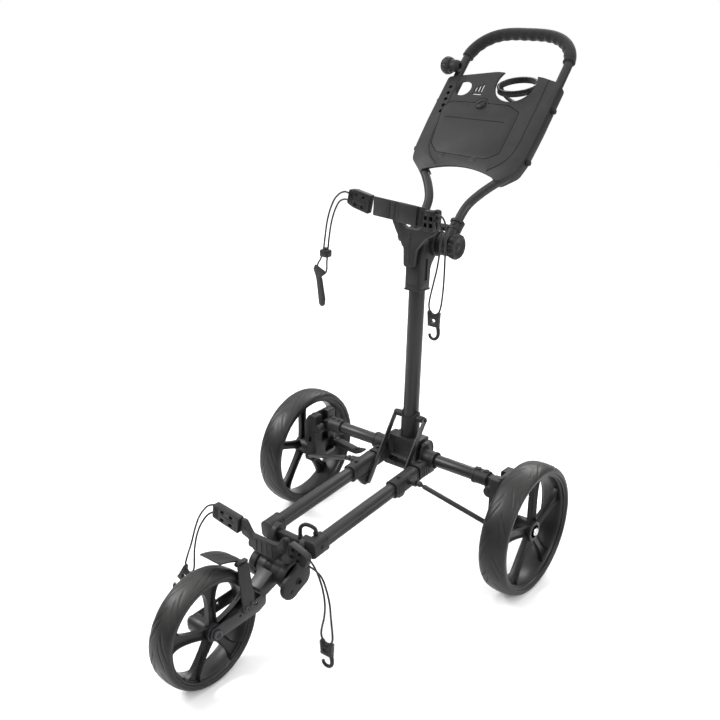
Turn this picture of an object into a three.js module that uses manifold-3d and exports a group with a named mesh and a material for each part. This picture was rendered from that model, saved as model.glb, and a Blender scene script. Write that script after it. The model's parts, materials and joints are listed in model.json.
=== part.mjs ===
// Three-wheel folding golf push cart, in millimetres, +Z up. The front wheel points to -Y, the person who
// pushes stands at +Y, and the origin is on the floor under the middle of the cart.
import * as THREE from 'three';
import { mergeVertices } from 'three/addons/utils/BufferGeometryUtils.js';
import Module from 'manifold-3d';

const wasm = await Module();
wasm.setup();

// ---- Driving dimensions -------------------------------------------------------------------------------
const GAP = 0.3; // clearance between pieces that touch
const SIDES = { small: 8, medium: 12, large: 16, wheel: 24, cord: 8 }; // facets of round pieces

const REAR = { radius: 147, width: 63, rimRadius: 129, rimWall: 9, rimWidth: 57, track: 628, hubRadius: 22 };
const FRONT = {
  radius: 117.4, width: 55, rimRadius: 102, rimWall: 8, rimWidth: 49, ahead: 644, hubRadius: 18,
};
const SPOKES = { count: 5, rootWidth: 20, tipWidth: 34, thickness: 11 };

const RAIL = { spacing: 118, height: 30, width: 22, wall: 1.8, slope: 3.9, zAtAxle: 221, radius: 7 };
const SLEEVE = { wall: 4, frontLength: 44, rearLength: 70, rearEnd: 15 };
const COLLAR = { length: 80, rear: -62, lugThickness: 9, bossRadius: 9 };
const AXLE = { radius: 14, wall: 1.8, y: -9, z: 238.5, offRail: 2, socketWall: 3.2, socketLength: 38 };
const KNUCKLE = { pinInset: 71, pinZ: 228, width: 36, depth: 75, front: -45, top: 262, below: 9, recess: 9 };
const STRUT = {
  radius: 5.5, ball: 7, offRail: 40, innerY: -93, innerZ: 219, offPin: 19, outerY: -55, outerZ: 158,
};
const SPINDLE = { radius: 6 };

const MAST = { radius: 18, wall: 1.8, lean: 2.3, pivotY: 5, pivotZ: 250, top: 446, bottom: 30 };
const BASE = { offLink: 1, front: -27, rear: 24, below: 34, above: 22, sleeveTop: 84, sleeveWall: 3.2 };
const LINK = { y: -2, z: 69, lugY: -94, lugZ: 181, thickness: 4, width: 14, offRail: 20.5, pin: 4 };
const CHEEK = { offLink: 5, thickness: 8.5, head: 4 };
const HINGE = { y: 36.2, z: 468.8, eye: 26, disc: 28, halfWidth: 30, bolt: 5 };
const ELBOW = { halfWidth: 23, bottom: 368 };

const HANDLE = {
  angle: 47.15, radius: 10, bore: 8.2, halfWidth: 133, legHalf: 47, socketWall: 3.6, top: 562,
};
const GRIP = { radius: 14.5, start: 482 };
const CONSOLE = { back: -12.5, face: 14, skin: 5, trayFloor: -7.5, trayWall: 2.5 };
const CUP = {
  x: 37, s: 415, tilt: 15.5, hole: 50, outer: 47, wall: 5, height: 14, bailDrop: 40, bailWidth: 12,
};
const KNOB = { start: 62.5, end: 79, radius: 28 };

const HEAD = { reach: 194, drop: 47, barrel: 27, ear: 30, barrelHalf: 30, earWidth: 17, railLead: 56 };
const FORK = { armInner: 29.3, armWidth: 3.4, armHeight: 28, bend: 127, neckHalf: 17 };
const FENDER = { inner: 137, thickness: 3.5, halfWidth: 27, from: 34, to: 80 };
const STRAP = { z: 539, height: 41, thickness: 3, from: -96, to: 38, tilt: 3 };
const KEEPER = { from: -30, to: 21, thickness: 8, over: 1 };
const CRADLE = { thickness: 14 };
const CORD = { radius: 2, bite: 2.4, hingeY: -450, hingeZ: 147.14 };

// ---- Materials ----------------------------------------------------------------------------------------
function finish(color, roughness, metalness) {
  return () => new THREE.MeshStandardMaterial({ color, roughness, metalness });
}
const paintedAlloy = finish(0x2a2a2d, 0.5, 0.4);
const plastic = finish(0x1d1d1f, 0.55, 0);
const rubber = finish(0x222224, 0.7, 0);
const webbing = finish(0x19191b, 0.9, 0);
const steel = finish(0x8b8b90, 0.35, 0.9);

// ---- Solid helpers ------------------------------------------------------------------------------------
function toSolid(geometry) {
  const bare = new THREE.BufferGeometry();
  bare.setAttribute('position', geometry.getAttribute('position'));
  bare.setIndex(geometry.getIndex());
  const merged = mergeVertices(bare, 1e-4);
  const vertProperties = new Float32Array(merged.getAttribute('position').array);
  const triVerts = new Uint32Array(merged.getIndex().array);
  return new wasm.Manifold(new wasm.Mesh({ numProp: 3, vertProperties, triVerts }));
}

function toGeometry(solid) {
  const mesh = solid.getMesh();
  const geometry = new THREE.BufferGeometry();
  geometry.setAttribute('position', new THREE.BufferAttribute(new Float32Array(mesh.vertProperties), 3));
  geometry.setIndex(new THREE.BufferAttribute(new Uint32Array(mesh.triVerts), 1));
  geometry.computeVertexNormals();
  return geometry;
}

function join(...pieces) {
  return toGeometry(pieces.map(toSolid).reduce((whole, piece) => whole.add(piece)));
}

function cut(base, ...tools) {
  return toGeometry(tools.map(toSolid).reduce((whole, tool) => whole.subtract(tool), toSolid(base)));
}

function mirrored(geometry) {
  const loose = geometry.getIndex() ? geometry.toNonIndexed() : geometry.clone();
  const source = loose.getAttribute('position');
  const flipped = new Float32Array(source.count * 3);
  for (let i = 0; i < source.count; i += 1) {
    const from = i - (i % 3) + ((3 - (i % 3)) % 3);
    flipped.set([-source.getX(from), source.getY(from), source.getZ(from)], i * 3);
  }
  const result = new THREE.BufferGeometry();
  result.setAttribute('position', new THREE.BufferAttribute(flipped, 3));
  result.computeVertexNormals();
  return result;
}

function sided(side, geometry) {
  return side > 0 ? geometry : mirrored(geometry);
}

// ---- Shape helpers ------------------------------------------------------------------------------------
const PLANES = {
  xy: [new THREE.Vector3(1, 0, 0), new THREE.Vector3(0, 1, 0), new THREE.Vector3(0, 0, 1)],
  yz: [new THREE.Vector3(0, 1, 0), new THREE.Vector3(0, 0, 1), new THREE.Vector3(1, 0, 0)],
  zx: [new THREE.Vector3(0, 0, 1), new THREE.Vector3(1, 0, 0), new THREE.Vector3(0, 1, 0)],
};

// A flat outline (points or a Shape) in one plane, drawn out along the plane's normal from low to high.
function plate(outline, plane, low, high, curveSegments = 8) {
  const points = () => outline.map(([a, b]) => new THREE.Vector2(a, b));
  const shape = outline instanceof THREE.Shape ? outline : new THREE.Shape(points());
  const depth = high - low;
  const geometry = new THREE.ExtrudeGeometry(shape, { depth, bevelEnabled: false, curveSegments });
  geometry.translate(0, 0, low);
  return geometry.applyMatrix4(new THREE.Matrix4().makeBasis(...PLANES[plane]));
}

function box(x0, x1, y0, y1, z0, z1) {
  const middle = [(x0 + x1) / 2, (y0 + y1) / 2, (z0 + z1) / 2];
  return new THREE.BoxGeometry(x1 - x0, y1 - y0, z1 - z0).translate(...middle);
}

// A cylinder along x, y or z, between low and high, with its axis through the two other coordinates.
function disc(axis, radius, low, high, a, b, sides = SIDES.medium) {
  const geometry = new THREE.CylinderGeometry(radius, radius, high - low, sides);
  const middle = (low + high) / 2;
  if (axis === 'x') return geometry.rotateZ(-Math.PI / 2).translate(middle, a, b);
  if (axis === 'y') return geometry.translate(a, middle, b);
  return geometry.rotateX(Math.PI / 2).translate(a, b, middle);
}

// A round profile turned about the x axis: points are [radius, x].
function turned(points, segments) {
  const geometry = new THREE.LatheGeometry(points.map(([r, x]) => new THREE.Vector2(r, x)), segments);
  return geometry.rotateZ(-Math.PI / 2);
}

function roundedRect(width, height, radius) {
  const w = width / 2;
  const h = height / 2;
  const shape = new THREE.Shape();
  shape.moveTo(-w + radius, -h);
  shape.lineTo(w - radius, -h);
  shape.absarc(w - radius, -h + radius, radius, -Math.PI / 2, 0);
  shape.absarc(w - radius, h - radius, radius, 0, Math.PI / 2);
  shape.absarc(-w + radius, h - radius, radius, Math.PI / 2, Math.PI);
  shape.absarc(-w + radius, -h + radius, radius, Math.PI, 1.5 * Math.PI);
  return shape;
}

function circle(radius, sides) {
  const shape = new THREE.Shape();
  for (let i = 0; i < sides; i += 1) {
    const angle = (2 * Math.PI * i) / sides;
    const method = i === 0 ? 'moveTo' : 'lineTo';
    shape[method](radius * Math.cos(angle), radius * Math.sin(angle));
  }
  return shape;
}

// A round section swept along a smooth curve through points.
function swept(curve, radius, steps, sides, bore = 0) {
  const shape = circle(radius, sides);
  if (bore > 0) shape.holes.push(circle(bore, 6));
  return new THREE.ExtrudeGeometry(shape, { steps, bevelEnabled: false, extrudePath: curve });
}

function smooth(points, tension = 0.5) {
  const knots = points.map((point) => new THREE.Vector3(...point));
  return new THREE.CatmullRomCurve3(knots, false, 'centripetal', tension);
}

// A straight round bar between two points.
function bar(from, to, radius, sides = SIDES.small) {
  const start = new THREE.Vector3(...from);
  const along = new THREE.Vector3(...to).sub(start);
  const geometry = new THREE.CylinderGeometry(radius, radius, along.length(), sides);
  const upright = new THREE.Vector3(0, 1, 0);
  const turn = new THREE.Quaternion().setFromUnitVectors(upright, along.clone().normalize());
  return geometry.applyQuaternion(turn).translate(...start.addScaledVector(along, 0.5).toArray());
}

function ball(radius, x, y, z, sides = SIDES.small) {
  return new THREE.SphereGeometry(radius, sides, sides / 2).translate(x, y, z);
}

// The convex outline moved outward by a distance (inward if it is negative).
function offsetOutline(points, distance) {
  const count = points.length;
  const lines = points.map(([ax, ay], i) => {
    const [bx, by] = points[(i + 1) % count];
    const length = Math.hypot(bx - ax, by - ay);
    const nx = (by - ay) / length;
    const ny = (ax - bx) / length;
    return [nx, ny, nx * ax + ny * ay + distance];
  });
  return lines.map(([a2, b2, c2], i) => {
    const [a1, b1, c1] = lines[(i + count - 1) % count];
    const det = a1 * b2 - a2 * b1;
    return [(c1 * b2 - c2 * b1) / det, (a1 * c2 - a2 * c1) / det];
  });
}

const radians = THREE.MathUtils.degToRad;

// The corner radius of a small faceted bore whose flats clear a turning pin by the usual gap.
function runningBore(pinRadius) {
  return (pinRadius + GAP) / Math.cos(Math.PI / SIDES.small);
}

const model = new THREE.Group();

function add(parent, name, geometry, material) {
  const mesh = new THREE.Mesh(geometry, material());
  mesh.name = name;
  parent.add(mesh);
  return mesh;
}

function group(parent, position, rotationX = 0) {
  const child = new THREE.Group();
  child.position.set(...position);
  child.rotation.x = rotationX;
  parent.add(child);
  return child;
}

const SIDE = { left: 1, right: -1 };

// ---- Rails and hub ------------------------------------------------------------------------------------
const railX = RAIL.spacing / 2;
const railRise = Math.tan(radians(RAIL.slope));
const railSide = railX + RAIL.width / 2;
const axleStart = railSide + AXLE.offRail;
const linkInner = railX - LINK.offRail;
const cheekInner = linkInner + CHEEK.offLink;
const cheekOuter = cheekInner + CHEEK.thickness;
const wheelX = REAR.track / 2;
const pinX = wheelX - KNUCKLE.pinInset;
const socketEnd = pinX - 18;
const knuckleBottom = REAR.radius - KNUCKLE.below;
const strutInner = [railX + STRUT.offRail, STRUT.innerY, STRUT.innerZ];
const strutOuter = [pinX + STRUT.offPin, STRUT.outerY, STRUT.outerZ];
const headY = HEAD.reach - FRONT.ahead;
const railFrontY = headY + HEAD.railLead;
const railZ = (y) => RAIL.zAtAxle + y * railRise;
const headZ = railZ(railFrontY) - HEAD.drop;
const alongRail = (y) => y / Math.cos(radians(RAIL.slope));

function railSection(extra) {
  return roundedRect(RAIL.width + 2 * extra, RAIL.height + 2 * extra, RAIL.radius + extra);
}

// A sleeve round the rail, from low to high along it, in the rail's own frame.
function railBlock(extra, low, high) {
  const geometry = new THREE.ExtrudeGeometry(railSection(extra), {
    depth: high - low, bevelEnabled: false, curveSegments: 3,
  });
  return geometry.rotateX(Math.PI / 2).translate(0, high, 0);
}

// Geometry in the rail's own frame, moved to where that rail lies on the cart.
function ontoRail(geometry, x) {
  return geometry.rotateX(radians(RAIL.slope)).translate(x, 0, RAIL.zAtAxle);
}

function buildRails() {
  const front = alongRail(railFrontY) - 6;
  const rear = SLEEVE.rearEnd - 8;
  for (const [name, side] of Object.entries(SIDE)) {
    const rail = cut(railBlock(0, front, rear), railBlock(-RAIL.wall, front - 1, rear + 1));
    add(model, `rail_${name}`, ontoRail(rail, side * railX), paintedAlloy);
  }
}

function buildHub() {
  const outer = SLEEVE.wall + GAP;
  const halves = Object.values(SIDE).map((side) => {
    const sleeve = ontoRail(railBlock(outer, SLEEVE.rearEnd - SLEEVE.rearLength, SLEEVE.rearEnd), railX);
    const axleBoss = disc('x', AXLE.radius + 4.5, railX - 10, axleStart + 14, AXLE.y, AXLE.z);
    const cheekOutline = [[-16, 200], [26, 200], [30, 250], [22, 268], [-8, 268], [-18, 250]];
    const cheek = plate(cheekOutline, 'yz', cheekInner, cheekOuter);
    const headEnd = cheekOuter + CHEEK.head;
    const boltHead = disc('x', 8, cheekOuter - 1, headEnd, MAST.pivotY, MAST.pivotZ, SIDES.small);
    return sided(side, join(sleeve, axleBoss, cheek, boltHead));
  });
  const bridge = box(-railX, railX, -14, 26, 189, 203);
  const bores = Object.values(SIDE).flatMap((side) => [
    ontoRail(railBlock(GAP, SLEEVE.rearEnd - SLEEVE.rearLength - 1, SLEEVE.rearEnd - 6), side * railX),
    sided(side, disc('x', AXLE.radius + GAP, axleStart, axleStart + 15, AXLE.y, AXLE.z)),
  ]);
  const pinEnd = cheekOuter - 2;
  const pinBore = disc('x', runningBore(HINGE.bolt), -pinEnd, pinEnd, MAST.pivotY, MAST.pivotZ, SIDES.small);
  add(model, 'central_hub', cut(join(...halves, bridge), ...bores, pinBore), plastic);
  const pin = disc('x', HINGE.bolt, GAP - pinEnd, pinEnd - GAP, MAST.pivotY, MAST.pivotZ, SIDES.small);
  add(model, 'mast_pivot_pin', pin, steel);
}

// ---- Sliding collars, fold links and struts -----------------------------------------------------------
function buildCollars() {
  for (const [name, side] of Object.entries(SIDE)) {
    const outer = SLEEVE.wall + GAP;
    const front = COLLAR.rear - COLLAR.length;
    const sleeve = ontoRail(railBlock(outer, front, COLLAR.rear), railX);
    const bore = ontoRail(railBlock(GAP, front - 1, COLLAR.rear + 1), railX);
    const inner = linkInner + LINK.thickness + 1.2;
    const lugTop = railZ(LINK.lugY) - RAIL.height / 2 - 1.5;
    const lug = plate([
      [LINK.lugY - 34, lugTop], [LINK.lugY - 12, LINK.lugZ - 9], [LINK.lugY + 8, LINK.lugZ - 9],
      [LINK.lugY + 26, lugTop],
    ], 'yz', inner, inner + COLLAR.lugThickness);
    const [strutX, strutY, strutZ] = strutInner;
    const boss = disc('x', COLLAR.bossRadius, railSide + 1.5, strutX - STRUT.ball - GAP, strutY, strutZ);
    const collar = cut(join(sleeve, lug, boss), bore);
    add(model, `slide_collar_${name}`, sided(side, collar), plastic);
  }
}

function buildStruts() {
  for (const [name, side] of Object.entries(SIDE)) {
    const rod = bar(strutInner, strutOuter, STRUT.radius);
    const strut = join(rod, ball(STRUT.ball, ...strutInner), ball(STRUT.ball, ...strutOuter));
    add(model, `strut_${name}`, sided(side, strut), paintedAlloy);
  }
}

function buildLinks() {
  const lean = radians(MAST.lean);
  const topY = MAST.pivotY + LINK.y * Math.cos(lean) + LINK.z * Math.sin(lean);
  const topZ = MAST.pivotZ - LINK.y * Math.sin(lean) + LINK.z * Math.cos(lean);
  const half = LINK.width / 2;
  const length = Math.hypot(topY - LINK.lugY, topZ - LINK.lugZ);
  const angle = Math.atan2(LINK.lugZ - topZ, LINK.lugY - topY);
  const outline = new THREE.Shape();
  outline.absarc(0, 0, half, Math.PI / 2, 1.5 * Math.PI);
  outline.absarc(length, 0, half, -Math.PI / 2, Math.PI / 2);
  const eye = new THREE.Path();
  eye.absarc(0, 0, LINK.pin + GAP, 0, 2 * Math.PI);
  outline.holes.push(eye);
  for (const [name, side] of Object.entries(SIDE)) {
    const link = plate(outline, 'yz', linkInner, linkInner + LINK.thickness, 6);
    link.rotateX(angle).translate(0, topY, topZ);
    add(model, `fold_link_${name}`, sided(side, link), paintedAlloy);
  }
}

// ---- Rear axle, knuckles and brake --------------------------------------------------------------------
function buildAxle() {
  const socketStart = socketEnd - AXLE.socketLength;
  for (const [name, side] of Object.entries(SIDE)) {
    const low = axleStart + GAP;
    const high = socketEnd - 8;
    const tube = cut(
      disc('x', AXLE.radius, low, high, AXLE.y, AXLE.z),
      disc('x', AXLE.radius - AXLE.wall, low - 1, high + 1, AXLE.y, AXLE.z),
    );
    add(model, `axle_tube_${name}`, sided(side, tube), paintedAlloy);

    const outer = AXLE.radius + AXLE.socketWall;
    const socket = disc('x', outer, socketStart, socketEnd, AXLE.y, AXLE.z);
    const tongue = plate([
      [KNUCKLE.pinZ - 9, socketEnd - 6], [KNUCKLE.pinZ + 22, socketEnd - 6],
      [KNUCKLE.pinZ + 16, pinX + 4], [KNUCKLE.pinZ, pinX + 11], [KNUCKLE.pinZ - 9, pinX + 6],
    ], 'zx', -20, 2);
    const bumps = [0.28, 0.78].map((share) => disc('z', 6, AXLE.z + outer - 3, AXLE.z + outer + 2,
      socketStart + share * AXLE.socketLength, AXLE.y, SIDES.small));
    const bore = disc('x', AXLE.radius + GAP, socketStart - 1, socketEnd - 7, AXLE.y, AXLE.z);
    const pinHole = disc('y', 4.5, -21, 3, pinX, KNUCKLE.pinZ, SIDES.small);
    const body = cut(join(socket, tongue, ...bumps), bore, pinHole);
    add(model, `axle_socket_${name}`, sided(side, body), plastic);
  }
}

function buildKnuckles() {
  const inner = pinX + 2;
  const outer = inner + KNUCKLE.width;
  const rear = KNUCKLE.front + KNUCKLE.depth;
  for (const [name, side] of Object.entries(SIDE)) {
    const body = plate([
      [knuckleBottom + 10, inner], [knuckleBottom, inner + 8], [knuckleBottom, outer],
      [KNUCKLE.top - 22, outer],
      [KNUCKLE.top, outer - 14], [KNUCKLE.top, inner],
    ], 'zx', KNUCKLE.front, rear);
    const ears = [[KNUCKLE.front, -20.6], [2.6, 24]].map(([low, high]) => (
      disc('y', 12, low, high, pinX, KNUCKLE.pinZ)));
    const pin = disc('y', 4, -24, 6, pinX, KNUCKLE.pinZ, SIDES.small);
    const spindleBoss = disc('x', 13, outer - 2, outer + 6, 0, REAR.radius);
    const tongueSlot = box(inner - 20, inner + 14, -20.6, 2.6, 188, KNUCKLE.top + 1);
    const sidePocket = box(inner - 1, inner + 12, -8, rear - 8, knuckleBottom + 16, 184);
    const frontWindow = box(inner + 14, inner + 22, KNUCKLE.front - 1, KNUCKLE.front + 14, 190, 204);
    const [strutX, , strutZ] = strutOuter;
    const strutRecess = box(strutX - 11, outer + 1, KNUCKLE.front - 1, KNUCKLE.front + KNUCKLE.recess,
      strutZ - 12, strutZ + 26);
    const boreRadius = runningBore(SPINDLE.radius);
    const spindleBore = disc('x', boreRadius, inner + 15, outer + 7, 0, REAR.radius, SIDES.small);
    const shell = cut(join(body, ...ears), tongueSlot, sidePocket, frontWindow, strutRecess);
    const knuckle = cut(join(shell, pin, spindleBoss), spindleBore);
    add(model, `knuckle_${name}`, sided(side, knuckle), plastic);

    const hubFace = wheelX + 24;
    const shaft = disc('x', SPINDLE.radius, inner + 16, hubFace + 1, 0, REAR.radius, SIDES.small);
    const cap = disc('x', 9, hubFace + 1 - GAP, hubFace + 4, 0, REAR.radius, SIDES.small);
    add(model, `rear_spindle_${name}`, sided(side, join(shaft, cap)), steel);
  }
}

function buildBrake() {
  const root = pinX - 6;
  const pedal = plate([
    [root, 168], [root - 8, 184], [root - 30, 182], [root - 70, 176], [root - 90, 181], [root - 92, 176],
    [root - 74, 167], [root - 30, 168],
  ].map(([x, z]) => [z, x]).reverse(), 'zx', 9, 29);
  const hinge = disc('y', 9, 9, 29, root - 2, 176, SIDES.small);
  add(model, 'brake_pedal', mirrored(join(pedal, hinge)), plastic);
}

// ---- Wheels -------------------------------------------------------------------------------------------
// A tyre's closed ring section: a rounded tread between two side walls, over the rim.
function tyre(wheel) {
  const half = wheel.width / 2;
  const inner = wheel.rimRadius + GAP;
  const rimHalf = wheel.rimWidth / 2;
  const crown = wheel.radius;
  const section = [
    [inner, -rimHalf], [crown - 9, -half], [crown - 2, -half * 0.6], [crown, 0], [crown - 2, half * 0.6],
    [crown - 9, half], [inner, rimHalf], [inner, -rimHalf],
  ];
  return turned(section, SIDES.wheel);
}

// A deep rim with flaring spokes and a bored hub; the spokes meet the hub towards its outer face.
function rim(wheel, hubOut, hubIn) {
  const half = wheel.rimWidth / 2;
  const inner = wheel.rimRadius - wheel.rimWall;
  const ring = turned([
    [inner, -half], [wheel.rimRadius, -half], [wheel.rimRadius, half], [inner, half], [inner - 2, 0],
    [inner, -half],
  ], SIDES.wheel);
  const hub = disc('x', wheel.hubRadius, -hubIn, hubOut, 0, 0);
  const spokeEnd = inner + 3;
  const spokes = Array.from({ length: SPOKES.count }, (_, i) => {
    const spoke = plate([
      [-SPOKES.rootWidth / 2, wheel.hubRadius - 6], [SPOKES.rootWidth / 2, wheel.hubRadius - 6],
      [SPOKES.rootWidth * 0.42, spokeEnd * 0.62],
      [SPOKES.tipWidth / 2, spokeEnd], [-SPOKES.tipWidth / 2, spokeEnd],
      [-SPOKES.rootWidth * 0.42, spokeEnd * 0.62],
    ], 'yz', hubOut - SPOKES.thickness - 4, hubOut - 4);
    return spoke.rotateX((2 * Math.PI * i) / SPOKES.count);
  });
  const bore = disc('x', runningBore(SPINDLE.radius), -hubIn - 1, hubOut + 1, 0, 0, SIDES.small);
  return cut(join(ring, hub, ...spokes), bore);
}

function buildRearWheels() {
  for (const [name, side] of Object.entries(SIDE)) {
    const wheel = group(model, [side * wheelX, 0, REAR.radius]);
    add(wheel, `rear_tyre_${name}`, sided(side, tyre(REAR)), rubber);
    add(wheel, `rear_rim_${name}`, sided(side, rim(REAR, 24, 22)), plastic);
  }
}

// ---- Front end ----------------------------------------------------------------------------------------
function buildFrontWheel() {
  const wheel = group(model, [0, -FRONT.ahead, FRONT.radius]);
  const armFace = FORK.armInner - GAP;
  add(wheel, 'front_tyre', tyre(FRONT), rubber);
  add(wheel, 'front_rim', rim(FRONT, armFace - 1, armFace - 1), plastic);
  const reach = FORK.armInner + FORK.armWidth + 6;
  const bolt = disc('x', SPINDLE.radius, -reach, reach, 0, 0, SIDES.small);
  const heads = [-1, 1].map((side) => (
    disc('x', 10, reach - 5, reach, 0, 0, 6).rotateY(side > 0 ? 0 : Math.PI)));
  add(wheel, 'front_spindle', join(bolt, ...heads), steel);
}

function buildFork() {
  const axleY = -FRONT.ahead;
  const bendY = axleY + FORK.bend;
  const half = FORK.armHeight / 2;
  const outer = FORK.armInner + FORK.armWidth;
  const arms = [1, -1].map((side) => {
    const outline = [
      [axleY, FRONT.radius - half], [bendY - 12, FRONT.radius - half + 1], [bendY + 4, FRONT.radius - 6],
      [bendY + 4, FRONT.radius + half + 2], [bendY - 6, FRONT.radius + half + 4],
      [axleY, FRONT.radius + half],
      [axleY - 12, FRONT.radius + 6], [axleY - 12, FRONT.radius - 6],
    ];
    const [low, high] = side > 0 ? [FORK.armInner, outer] : [-outer, -FORK.armInner];
    return plate(outline, 'yz', low, high);
  });
  const crown = box(-outer, outer, bendY - 1, bendY + 7, FRONT.radius - 6, FRONT.radius + half + 2);
  const neck = plate([
    [bendY + 3, FRONT.radius - 8], [bendY + 3, FRONT.radius + 18], [headY - 14, headZ + 16],
    [headY, headZ], [headY - 10, headZ - 22],
  ], 'yz', -FORK.neckHalf, FORK.neckHalf);
  const barrel = disc('x', HEAD.barrel, -HEAD.barrelHalf, HEAD.barrelHalf, headY, headZ, SIDES.large);
  const bore = disc('x', runningBore(HINGE.bolt), -outer - 1, outer + 1, headY, headZ, SIDES.small);
  const boreRadius = runningBore(SPINDLE.radius);
  const axleBore = disc('x', boreRadius, -outer - 1, outer + 1, axleY, FRONT.radius, SIDES.small);
  add(model, 'front_fork', cut(join(...arms, crown, neck, barrel), bore, axleBore), paintedAlloy);
}

function buildFender() {
  const outline = new THREE.Shape();
  outline.absarc(0, 0, FENDER.inner + FENDER.thickness, radians(FENDER.from), radians(FENDER.to));
  outline.absarc(0, 0, FENDER.inner, radians(FENDER.to), radians(FENDER.from), true);
  const arch = plate(outline, 'yz', -FENDER.halfWidth, FENDER.halfWidth, 8);
  arch.translate(0, -FRONT.ahead, FRONT.radius);
  const stayOut = FORK.armInner + FORK.armWidth + GAP;
  const stayTop = [FENDER.inner * Math.cos(radians(58)), FENDER.inner * Math.sin(radians(58))];
  const stay = plate([
    [70, 6], [98, 10], [stayTop[0] + 16, stayTop[1] - 2], [stayTop[0] - 16, stayTop[1] + 14],
  ], 'yz', stayOut, stayOut + 3).translate(0, -FRONT.ahead, FRONT.radius);
  const [shelfY, shelfZ] = stayTop;
  const shelf = box(FENDER.halfWidth - 2, stayOut + 3, shelfY - 14, shelfY + 14, shelfZ - 2, shelfZ + 5);
  shelf.translate(0, -FRONT.ahead, FRONT.radius);
  add(model, 'front_fender', join(arch, stay, shelf), plastic);
}

function buildCrosshead() {
  const earIn = HEAD.barrelHalf + 0.5;
  const earOut = earIn + HEAD.earWidth;
  const outer = SLEEVE.wall + GAP;
  const sleeveLow = alongRail(railFrontY) - 18;
  const halves = Object.values(SIDE).map((side) => {
    const ear = disc('x', HEAD.ear, earIn, earOut, headY, headZ, SIDES.large);
    const sleeve = ontoRail(railBlock(outer, sleeveLow, sleeveLow + SLEEVE.frontLength), railX);
    const web = plate([
      [headY + 14, headZ + 22], [headY + 4, headZ - 26], [railFrontY + 8, railZ(railFrontY) - 18],
      [railFrontY + 4, railZ(railFrontY) + 18], [railFrontY - 16, railZ(railFrontY) + 14],
    ], 'yz', earIn + 2, earOut);
    return sided(side, join(ear, sleeve, web));
  });
  const tie = box(-railX, railX, railFrontY - 14, railFrontY + 2, headZ + 28, headZ + 54);
  const bores = Object.values(SIDE).map((side) => (
    ontoRail(railBlock(GAP, sleeveLow + 10, sleeveLow + SLEEVE.frontLength + 1), side * railX)));
  const pivot = disc('x', HINGE.bolt, -earOut, earOut, headY, headZ, SIDES.small);
  add(model, 'crosshead', cut(join(...halves, tie, pivot), ...bores), plastic);

  const coverIn = earOut + GAP;
  const cover = new THREE.Shape();
  cover.absarc(-14, 4, 27, Math.PI / 2, 1.5 * Math.PI);
  cover.absarc(14, -4, 27, -Math.PI / 2, Math.PI / 2);
  const lid = plate(cover, 'yz', coverIn, coverIn + 12).rotateX(radians(38)).translate(0, headY, headZ - 8);
  const screw = disc('x', 7, coverIn + 11, coverIn + 15, headY + 6, headZ - 4, SIDES.small);
  add(model, 'pivot_cover', join(lid, screw), plastic);
}

// The release cable: a stiff loop from the crosshead's tie bar up, over and into the left rail's sleeve.
function buildReleaseCable() {
  const tieTop = headZ + 54 + GAP;
  const endY = railFrontY + 8;
  const sleeveTop = railZ(endY) + RAIL.height / 2 + SLEEVE.wall + 2 * GAP + 0.4;
  const route = smooth([
    [24, railFrontY - 6, tieTop], [24, railFrontY - 6, tieTop + 14], [27, railFrontY - 7, tieTop + 28],
    [36, railFrontY - 4, tieTop + 36], [railX - 12, railFrontY + 2, tieTop + 33],
    [railX - 6, endY, sleeveTop + 11],
    [railX - 6, endY, sleeveTop],
  ]);
  add(model, 'release_cable', swept(route, 4, 12, SIDES.small), rubber);
}

// ---- Bag cradles, straps and buckles ------------------------------------------------------------------
function buildLowerCradle() {
  const back = headY - 6;
  const foot = headZ + HEAD.ear + GAP;
  const outline = [
    [-62, foot + 40], [-44, foot + 36], [-30, foot + 14], [30, foot + 14], [44, foot + 36], [62, foot + 40],
    [62, foot + 74], [50, foot + 74], [34, foot + 50], [-34, foot + 50], [-50, foot + 74], [-62, foot + 74],
  ];
  const plateBody = plate(outline.map(([x, z]) => [z, x]).reverse(), 'zx', back - 24, back - 14);
  const legs = [1, -1].map((side) => sided(side, plate([
    [back - 22, foot + 30], [back - 22, foot + 18], [headY - 8, foot], [headY + 9, foot],
    [headY + 7, foot + 10], [back - 14, foot + 34],
  ], 'yz', 33, 45)));
  add(model, 'lower_cradle', join(plateBody, ...legs), plastic);
  return { y: back - 19, z: foot + 57 };
}

// A side-release buckle lying along x: its wide end at x = 0, narrowing to -length.
function buckle(length, wide, narrow, thickness) {
  const outline = [
    [0, -wide / 2], [0, wide / 2], [-length * 0.72, wide / 2 - 1], [-length, narrow / 2],
    [-length, -narrow / 2], [-length * 0.72, -wide / 2 + 1],
  ];
  const body = plate(outline.map(([x, z]) => [z, x]).reverse(), 'zx', -thickness / 2, thickness / 2);
  const slots = [0.3, 0.62].flatMap((share) => [-1, 1].map((side) => (
    box(-5, 5, -thickness, thickness, -4, 4).translate(-length * share, 0, side * wide * 0.26))));
  return cut(body, ...slots);
}

// The upper cradle's back and front faces in the mast's frame, and the strap's back face against it.
const cradleBack = -ELBOW.halfWidth - 1 - GAP;
const cradleFront = cradleBack - CRADLE.thickness;
const strapBack = cradleFront - GAP;

function buildUpperCradle(mast) {
  const outline = [
    [-13, 424], [13, 424], [15, 462], [36, 488], [64, 506], [70, 520], [70, 556], [54, 556],
    [46, 526], [22, 508],
    [-12, 508], [-28, 520], [-34, 556], [-46, 556], [-48, 520], [-34, 494], [-15, 466],
  ];
  const body = plate(outline.map(([x, z]) => [z, x]).reverse(), 'zx', cradleFront, cradleBack);
  add(mast, 'upper_cradle', body, plastic);
}

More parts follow.
